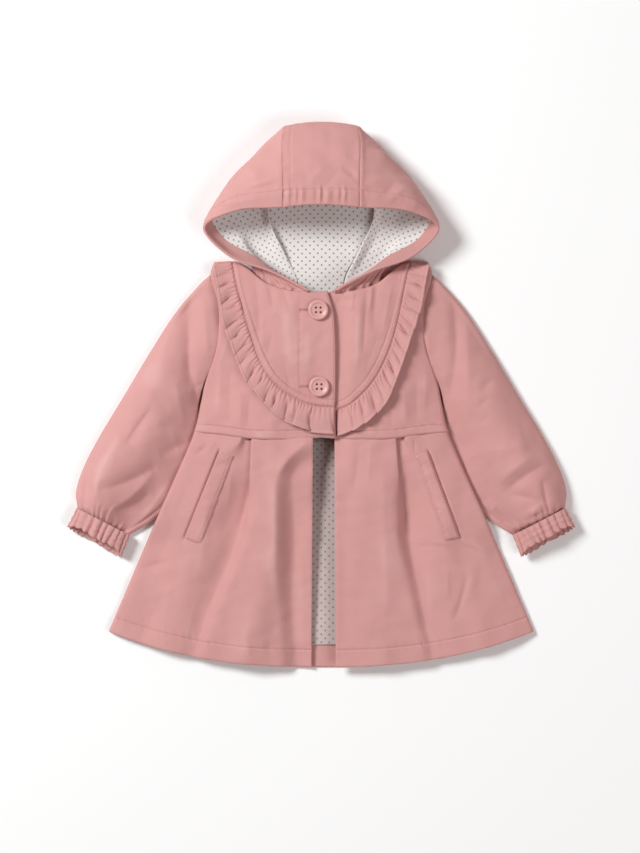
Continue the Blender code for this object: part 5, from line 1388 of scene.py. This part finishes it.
def folded_lining(points):
    """The side lining bulges over the centre one along their seam, on the hood's back."""
    across = lengths_of(points)[0]
    on_back = ramp(0.45, 0.62, HOOD_BACKS) * ramp(1.0, 0.9, HOOD_BACKS)
    bulge = np.exp(-(across / FOLD_REACH) ** 2) * on_back[:, None]
    rise = FOLD_RISE * bulge * (1.0 - 0.6 * np.exp(-(across / FOLD_ROLL) ** 2))
    towards = np.sign(MIRROR / 2.0 - points[0, 0, 0])
    return points + stacked(FOLD_OVER * towards * bulge, 0.0, rise)


def eased(points):
    """The lining with the sharp turn softened where the hood's side meets its back."""
    share = (ramp(0.36, 0.46, HOOD_BACKS) * ramp(0.86, 0.74, HOOD_BACKS))[1:-1, None, None]
    for _ in range(EASINGS):
        middle = (points[:-2] + 2.0 * points[1:-1] + points[2:]) / 4.0
        points = np.concatenate((points[:1], mix(points[1:-1], middle, share), points[-1:]))
    return points


def with_facing(points, relief, t, flip):
    """Rows added before the face edge: the cloth turns round it and runs back inside as a facing."""
    out = normals_of(points, flip)
    off = points[0] - points[1]
    off /= np.linalg.norm(off, axis=-1, keepdims=True)
    inside = t <= FACING + 0.012
    facing = (points - out * 2.0 * LIP_RADIUS)[inside][1:][::-2]
    turn = []
    for angle in np.linspace(math.pi, 0.0, 9)[:-1]:
        down = out[0] * LIP_RADIUS * (1.0 - math.cos(angle))
        turn.append(points[0] - down + off * LIP_RADIUS * math.sin(angle))
    return np.concatenate((facing, np.array(turn), points + out * relief[..., None]))


def padded_to(values, shell):
    """Values for the rows before the face edge and the columns past the neck seam, too."""
    rows, columns = shell.shape[:2]
    return np.pad(values, ((rows - values.shape[0], 0), (0, columns - values.shape[1])))


class COAT_OT_hood(bpy.types.Operator):
    """Make the three panels of the hood and their linings"""
    bl_idname = "coat.hood"
    bl_label = "Hood"

    def execute(self, context):
        twill = finish_named("twill")
        lining = finish_named("lining")
        for side in SIDES:
            turned = side == "left"
            points, relief = hood_side_panel(side)
            shell = with_facing(points, relief, HOOD_BACKS, not turned)
            inside = np.pad(shell[:-len(points)], ((0, 0), (0, len(TUCK_DROPS)), (0, 0)), mode="edge")
            shell = np.concatenate((inside, tucked_in(shell[-len(points):], side)))
            # crests painted paler by their height: painted highlight, partly wear
            cloth(f"hood_side_{side}_cloth", shell, twill, f"hood_side_{side}", flip=not turned,
                  wear_and_painted_highlight=padded_to(ramp(0.4, 1.4, relief), shell))
            depth = LINING_DEPTH - np.minimum(relief, 0.0)[..., None]
            inner = folded_lining(eased(points - normals_of(points, not turned) * depth))
            cloth(f"hood_lining_{side}_cloth", inner[HOOD_BACKS > FACING][:, ::2], lining,
                  f"hood_lining_{side}", wall=0.5, flip=turned, unrolled=(0.0, 1.0))
        points, relief = hood_centre_panel()
        shell = with_facing(points, relief, CENTRE_BACKS, False)
        # crests painted paler by their height: painted highlight, partly wear
        cloth("hood_centre_cloth", shell, twill, "hood_centre", wear_and_painted_highlight=padded_to(ramp(0.4, 1.4, relief), shell))
        depth = LINING_DEPTH - np.minimum(relief, 0.0)[..., None]
        inner = points - normals_of(points, False) * depth
        cloth("hood_lining_centre_cloth", inner[CENTRE_BACKS > FACING][:, ::2], lining, "hood_lining_centre",
              wall=0.5, flip=True)
        return {"FINISHED"}


# ---------------------------------------------------------------- stitches
ABOVE = 90.0                # height from which places on the cloth are looked up
NEARBY = 0.4                # way along a row, before and after a stitch, that gives its direction
STITCH_RISE = 0.06          # of a stitch's middle over the cloth
INTO_EDGE = 2.0             # distance of the front edge's stitches from it
WELT_INSET = 1.5            # of the stitches round a welt
YOKE_INSET = 1.7            # of the stitches beside the yoke's seam
LIP = 0.75                  # of a buttonhole, from its middle to its stitches
LIP_PITCH = 0.62            # of these


def cloth_below(names, x, y):
    """The point of the pieces that shows at a plan place, and its face's direction, in mm."""
    start = Vector((x - ORIGIN[0], y, 0.0)) * MM
    start.z = ABOVE * MM
    for name in set(names) - set(trees):
        trees[name] = BVHTree.FromObject(pieces[name], bpy.context.evaluated_depsgraph_get())
    hits = [trees[name].ray_cast(start, Vector((0.0, 0.0, -1.0))) for name in names]
    hits = [hit for hit in hits if hit[0] is not None]
    if not hits:
        return None
    spot, out = max(hits, key=lambda hit: hit[0].z)[:2]
    return np.array(spot) / MM + ORIGIN, np.array(out if out.z > 0.0 else -out)


def row_on_cloth(names, line, pitch, start=0.0, end=0.0, seed=0.0):
    """Stitches along a plan line, laid on the pieces that show there: place, direction, face."""
    laid = []
    for at in np.arange(start + pitch / 2.0, line.reach[-1] - end, pitch):
        x, y = line.at(at) + 0.12 * np.sin((at * 1.7 + seed, at * 2.3 + seed))
        ahead = line.at(at + NEARBY) - line.at(at - NEARBY)
        found = cloth_below(names, x, y)
        if found is not None and np.linalg.norm(ahead) > 0.1:
            laid.append((found[0], np.append(ahead, 0.0), found[1]))
    return laid


def row_on_grid(points, out, pitch, start=0.0, end=0.0):
    """Stitches along a row of points on a panel."""
    reach = np.concatenate(([0.0], np.cumsum(np.linalg.norm(np.diff(points, axis=0), axis=1))))
    laid = []
    for at in np.arange(start + pitch / 2.0, reach[-1] - end, pitch):
        spot, before, after = [np.array([np.interp(at + step, reach, points[:, axis]) for axis in range(3)])
                               for step in (0.0, -NEARBY, NEARBY)]
        face = np.array([np.interp(at, reach, out[:, axis]) for axis in range(3)])
        laid.append((spot, after - before, face))
    return laid


def sew(name, laid, length=None):
    """Copies of one stitch at the places, joined to one piece."""
    sizes = bpy.context.scene.coat_sizes
    length = length or sizes.stitch_length / MM
    bpy.ops.object.select_all(action="DESELECT")
    bpy.ops.mesh.primitive_uv_sphere_add(segments=8, ring_count=4, radius=MM / 2.0)
    stitch = bpy.context.object
    bpy.ops.transform.resize(value=(length, sizes.thread_width / MM, sizes.thread_width / MM * 0.7))
    bpy.ops.object.transform_apply(location=False, rotation=False, scale=True)
    bpy.ops.object.shade_smooth()
    stitch.data.materials.append(finish_named("thread"))
    copies = []
    for spot, ahead, out in laid:
        out = Vector(out).normalized()
        ahead = Vector(ahead)
        ahead = (ahead - out * ahead.dot(out)).normalized()
        aside = out.cross(ahead)
        copy = stitch.copy()
        copy.data = stitch.data.copy()
        turn = Matrix((ahead, aside, out)).transposed().to_4x4()
        place = (Vector(spot) - Vector(ORIGIN)) * MM + out * STITCH_RISE * MM
        copy.matrix_world = Matrix.Translation(place) @ turn
        bpy.context.collection.objects.link(copy)
        copies.append(copy)
    selected_alone(stitch)
    bpy.ops.object.delete()
    for copy in copies:
        copy.select_set(True)
    bpy.context.view_layer.objects.active = copies[0]
    bpy.ops.object.transform_apply(location=True, rotation=True, scale=True)
    bpy.ops.object.join()
    piece = bpy.context.object
    piece.name = name
    piece.data.name = name
    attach(piece, "root")
    return piece


def outline_of(side, inset):
    """The plan outline of a welt, moved inwards."""
    corners = np.array(WELT[side])
    middle = corners.mean(axis=0)
    across = corners[1] - corners[0]
    down = corners[3] - corners[0]
    across = across / np.linalg.norm(across)
    down = down / np.linalg.norm(down)
    moved = []
    for corner in corners:
        off = corner - middle
        moved.append(corner - inset * (np.sign(off @ across) * across + np.sign(off @ down) * down))
    return [Line((one, other), 8) for one, other in zip(moved, moved[1:] + moved[:1])]


def hood_rows():
    """Stitches along the face hem and the crown seams, on the panels' own grids."""
    pitch = bpy.context.scene.coat_sizes.stitch_pitch / MM
    laid = []
    for side in SIDES:
        turned = side == "left"
        points, relief = hood_side_panel(side)
        out = normals_of(points, not turned)
        points = points + out * relief[..., None]
        laid += row_on_grid(points[HEM_ROWS], out[HEM_ROWS], pitch)
        if turned:
            laid += row_on_grid(points[:CROWN_ROWS, 2], out[:CROWN_ROWS, 2], pitch)
    points, relief = hood_centre_panel()
    out = normals_of(points, False)
    points = points + out * relief[..., None]
    laid += row_on_grid(points[HEM_ROWS], out[HEM_ROWS], pitch)
    for column in (1, 8):
        laid += row_on_grid(points[:CROWN_ROWS, column], out[:CROWN_ROWS, column], pitch)
    return laid


def buttonhole(x_from, x_to, y):
    """Close stitches on both lips of a buttonhole and across one of its ends."""
    laid = []
    for x in np.arange(x_from, x_to, LIP_PITCH):
        for lip in (-LIP, LIP):
            found = cloth_below(["yoke_right_cloth"], x, y + lip)
            if found is not None:
                laid.append((found[0], np.array((0.12, 1.0, 0.0)), found[1]))
    for step in (-1.0, -0.5, 0.0, 0.5, 1.0):
        found = cloth_below(["yoke_right_cloth"], x_from - 0.7, y + step)
        if found is not None:
            laid.append((found[0], np.array((1.0, 0.0, 0.0)), found[1]))
    return laid


class COAT_OT_stitches(bpy.types.Operator):
    """Sew the coat's rows of stitches and its buttonholes"""
    bl_idname = "coat.stitches"
    bl_label = "Stitches"

    def execute(self, context):
        pitch = context.scene.coat_sizes.stitch_pitch / MM
        if not pieces:
            raise RuntimeError("The coat's panels come before its stitches")
        skirt = ["skirt_front_right_cloth", "skirt_front_left_cloth"]
        laid = []
        for side in SIDES:
            laid += row_on_cloth(skirt, hem_row(side), pitch, 1.0, 1.0, seed=1.0)
        sew("hem_stitches", laid)
        laid = []
        for side in SIDES:
            laid += row_on_cloth([f"bodice_front_{side}_cloth"], waist_row(side), pitch)
            laid += row_on_cloth([f"yoke_{side}_cloth"], yoke_row(side), pitch, 3.0, 3.0)
            laid += row_on_cloth([f"yoke_{side}_cloth"], yoke_row(side, YOKE_INSET), pitch, 3.0, 1.0)
        laid += row_on_cloth(["yoke_right_cloth"], placket_row(), pitch)
        laid += row_on_cloth(["yoke_right_cloth"], Line(FRONT_EDGE).shifted(-INTO_EDGE), pitch, 2.0, 2.0)
        sew("bodice_stitches", laid)
        laid = []
        for side in SIDES:
            for edge in outline_of(side, WELT_INSET):
                laid += row_on_cloth([f"pocket_welt_{side}_cloth"], edge, pitch)
        sew("welt_stitches", laid)
        laid = []
        for side in SIDES:
            points = ruffle_points(side)[0]
            out = normals_of(points, side == "left")
            laid += row_on_grid(points[-6], out[-6], pitch)
        sew("ruffle_stitches", laid)
        sew("hood_stitches", hood_rows())
        laid = []
        for _, y in BUTTON_PLACES.values():
            laid += buttonhole(*BUTTONHOLE, y)
        sew("buttonhole_stitches", laid, length=1.15)
        return {"FINISHED"}


# ---------------------------------------------------------------- buttons
BUTTON_HOLE = 1.15          # radius of each of the four
BUTTON_HOLE_SPREAD = 3.25   # of the holes from the button's middle
# a button's section: radius as a share of the rim's, height in mm from its back
BUTTON_SECTION = (
    (0.0, 2.15), (0.30, 2.12), (0.52, 2.12), (0.62, 2.25), (0.70, 2.75), (0.77, 3.28), (0.84, 3.4),
    (0.92, 3.3), (0.975, 2.95), (1.0, 2.35), (0.995, 1.5), (0.96, 0.8), (0.88, 0.25), (0.78, 0.0), (0.0, 0.0))


def make_button(name, x, y):
    """A turned button with a dished face and four holes, lying on the right yoke."""
    radius = bpy.context.scene.coat_sizes.button_radius / MM
    seat = yoke_surface("right", np.array(x), np.array(y)) + BUTTON_SEAT
    middle = (np.array((x, y, float(seat))) - ORIGIN) * MM
    bpy.ops.object.select_all(action="DESELECT")
    bpy.ops.mesh.primitive_plane_add(size=0.001)
    button = bpy.context.object
    bpy.ops.object.mode_set(mode="EDIT")
    bpy.ops.mesh.select_all(action="SELECT")
    bpy.ops.mesh.merge(type="CENTER")
    bpy.ops.transform.translate(value=(0.0, 0.0, BUTTON_SECTION[0][1] * MM))
    for (share, height), (next_share, next_height) in zip(BUTTON_SECTION, BUTTON_SECTION[1:]):
        move = ((next_share - share) * radius * MM, 0.0, (next_height - height) * MM)
        bpy.ops.mesh.extrude_vertices_move(TRANSFORM_OT_translate={"value": move})
    bpy.ops.mesh.select_all(action="SELECT")
    bpy.ops.mesh.spin(steps=64, angle=2.0 * math.pi, center=(0.0, 0.0, 0.0), axis=(0.0, 0.0, 1.0))
    bpy.ops.mesh.select_all(action="SELECT")
    bpy.ops.mesh.remove_doubles(threshold=0.00001)
    bpy.ops.mesh.normals_make_consistent(inside=False)
    bpy.ops.object.mode_set(mode="OBJECT")
    bpy.ops.object.shade_smooth()
    for index in range(4):
        angle = math.radians(45.0 + 90.0 * index)
        place = (math.cos(angle) * BUTTON_HOLE_SPREAD * MM, math.sin(angle) * BUTTON_HOLE_SPREAD * MM, 0.0)
        bpy.ops.mesh.primitive_cylinder_add(vertices=24, radius=BUTTON_HOLE * MM, depth=0.02, location=place)
        drill = bpy.context.object
        selected_alone(button)
        bpy.ops.object.modifier_add(type="BOOLEAN")
        button.modifiers[-1].object = drill
        button.modifiers[-1].operation = "DIFFERENCE"
        bpy.ops.object.modifier_apply(modifier=button.modifiers[-1].name)
        selected_alone(drill)
        bpy.ops.object.delete()
    selected_alone(button)
    bpy.ops.object.modifier_add(type="BEVEL")
    button.modifiers[-1].width = 0.22 * MM
    button.modifiers[-1].segments = 3
    button.modifiers[-1].limit_method = "ANGLE"
    button.modifiers[-1].angle_limit = math.radians(50.0)
    bpy.ops.object.modifier_apply(modifier=button.modifiers[-1].name)
    bpy.ops.transform.translate(value=tuple(middle))
    bpy.ops.object.transform_apply(location=True, rotation=True, scale=True)
    button.name = name + "_turned"
    button.data.name = button.name
    button.data.materials.append(finish_named("button"))
    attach(button, "root")
    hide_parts(name)


class COAT_OT_buttons(bpy.types.Operator):
    """Make the two four-hole buttons"""
    bl_idname = "coat.buttons"
    bl_label = "Buttons"

    def execute(self, context):
        for name, (x, y) in BUTTON_PLACES.items():
            make_button(name, x, y)
        return {"FINISHED"}


# ---------------------------------------------------------------- stage
# all in metres
VIEW_CENTRE = Vector((-0.00125, -0.0315, 0.0))     # the plan point in the middle of the picture
VIEW_HEIGHT = 0.853                                 # what the picture shows from top to bottom
CAMERA_HEIGHT = 5.0
CLOTH_LEVEL = 0.015                                 # where the picture's scale is that of the photo
SENSOR = 24.0                                       # the camera's, in mm
FLOOR_SIZE = 8.0
FLOOR_DROP = 0.0004                                 # of the floor under the cloth
# each light's place, size, watts and colour: the main one is on the upper left
LIGHTS = {
    "key_light": ((-2.1, 1.25, 2.15), 1.1, 103.0, (0.94, 0.99, 1.0)),
    "fill_light": ((2.2, -1.2, 2.6), 2.2, 44.0, (0.97, 0.985, 1.0)),
}
ROOM_COLOUR = (1.0, 0.84, 0.80, 1.0)
ROOM_LIGHT = 0.24


class COAT_OT_stage(bpy.types.Operator):
    """Set the floor, the soft light and the camera"""
    bl_idname = "coat.stage"
    bl_label = "Stage"

    def execute(self, context):
        bpy.ops.object.select_all(action="DESELECT")
        bpy.ops.mesh.primitive_plane_add(size=FLOOR_SIZE, location=(0.0, 0.0, -FLOOR_DROP))
        floor = bpy.context.object
        floor.name = "floor"
        paint = Finish("pale_floor")
        paint.set(Base_Color=(0.97, 0.968, 0.965, 1.0), Roughness=0.9)
        floor.data.materials.append(paint.material)
        for name, (place, size, energy, colour) in LIGHTS.items():
            bpy.ops.object.light_add(type="AREA", location=place)
            light = bpy.context.object
            light.name = name
            light.data.shape = "DISK"
            light.data.size = size
            light.data.energy = energy
            light.data.color = colour
            light.rotation_euler = (-light.location).to_track_quat("-Z", "Y").to_euler()
        world = bpy.data.worlds.new("studio")
        world.use_nodes = True
        room = world.node_tree.nodes["Background"]
        room.inputs["Color"].default_value = ROOM_COLOUR
        room.inputs["Strength"].default_value = ROOM_LIGHT
        context.scene.world = world
        above = VIEW_CENTRE + Vector((0.0, 0.0, CAMERA_HEIGHT))
        bpy.ops.object.camera_add(location=above, rotation=(0.0, 0.0, 0.0))
        camera = bpy.context.object
        camera.data.sensor_fit = "VERTICAL"
        camera.data.sensor_height = SENSOR
        camera.data.lens = SENSOR * (CAMERA_HEIGHT - CLOTH_LEVEL) / VIEW_HEIGHT
        context.scene.camera = camera
        context.scene.view_settings.view_transform = "Standard"
        return {"FINISHED"}


# ---------------------------------------------------------------- add-on
def colour_property(name, description, default):
    return bpy.props.FloatVectorProperty(name=name, description=description, subtype="COLOR", size=3,
                                         default=default, min=0.0, max=1.0)


class CoatColours(bpy.types.PropertyGroup):
    """Colours of the coat's cloth, thread and buttons, in linear light"""
    pink: colour_property("Twill", "The outer cloth", (0.63, 0.315, 0.297))
    # paler pink painted on the raised crests of folds: painted highlight, partly wear
    wear_and_painted_highlight_pink: colour_property("Worn edges", "The outer cloth where seams rub", (0.74, 0.44, 0.42))
    lining: colour_property("Lining", "The lining's ground", (0.80, 0.76, 0.735))
    # the skirt's lining: the lining's ground darkened with painted shade and tinged with a painted pink
    # reflection of the fronts
    painted_shade_skirt_lining: colour_property("Skirt lining", "The lining's ground in the skirt", (0.60, 0.50, 0.475))
    dot: colour_property("Dots", "The lining's dots", (0.30, 0.19, 0.18))
    thread: colour_property("Thread", "The stitches", (0.50, 0.21, 0.20))
    button: colour_property("Buttons", "The buttons' plastic", (0.68, 0.36, 0.335))


def length_property(name, description, default):
    return bpy.props.FloatProperty(name=name, description=description, default=default, min=0.0001,
                                   subtype="DISTANCE", unit="LENGTH", precision=4)


class CoatSizes(bpy.types.PropertyGroup):
    """Sizes of the coat's cloth, sewing and buttons"""
    cloth_thickness: length_property("Cloth", "Thickness of the outer cloth", WALL * MM)
    crease_depth: bpy.props.FloatProperty(name="Crease depth", default=1.4, min=0.0, max=2.0,
                                          description="What the creases' listed heights are multiplied by")
    stitch_pitch: length_property("Stitch pitch", "From one stitch to the next", STITCH_PITCH * MM)
    stitch_length: length_property("Stitch length", "Length of one stitch", 2.1 * MM)
    thread_width: length_property("Thread", "Width of the sewing thread", 0.5 * MM)
    dot_pitch: length_property("Dot pitch", "From one of the lining's dots to the next in its row", 7.9 * MM)
    dot_radius: length_property("Dot radius", "Radius of the lining's dots", 0.98 * MM)
    button_radius: length_property("Button radius", "Radius of the buttons", BUTTON_RADIUS * MM)


class COAT_PT_panel(bpy.types.Panel):
    """The coat's colours and makers"""
    bl_idname = "COAT_PT_panel"
    bl_label = "Hooded Coat"
    bl_space_type = "VIEW_3D"
    bl_region_type = "UI"
    bl_category = "Coat"

    def draw(self, context):
        for group in (context.scene.coat_sizes, context.scene.coat_colours):
            for name in type(group).__annotations__:
                self.layout.prop(group, name)
        for maker in MAKERS:
            self.layout.operator(maker.bl_idname)


MAKERS = (COAT_OT_skirt, COAT_OT_bodice, COAT_OT_trim, COAT_OT_sleeves, COAT_OT_hood, COAT_OT_stitches,
          COAT_OT_buttons, COAT_OT_stage)
CLASSES = (CoatSizes, CoatColours) + MAKERS + (COAT_PT_panel,)


def register():
    """Make the coat's settings, makers and panel known to Blender."""
    for each in CLASSES:
        bpy.utils.register_class(each)
    bpy.types.Scene.coat_sizes = bpy.props.PointerProperty(type=CoatSizes)
    bpy.types.Scene.coat_colours = bpy.props.PointerProperty(type=CoatColours)


def unregister():
    """Take them away again."""
    del bpy.types.Scene.coat_sizes
    del bpy.types.Scene.coat_colours
    for each in reversed(CLASSES):
        bpy.utils.unregister_class(each)


def main():
    """Make the coat and its stage."""
    register()
    bpy.ops.coat.skirt()
    bpy.ops.coat.bodice()
    bpy.ops.coat.trim()
    bpy.ops.coat.sleeves()
    bpy.ops.coat.hood()
    bpy.ops.coat.stitches()
    bpy.ops.coat.buttons()
    bpy.ops.coat.stage()


if __name__ == "__main__":
    main()
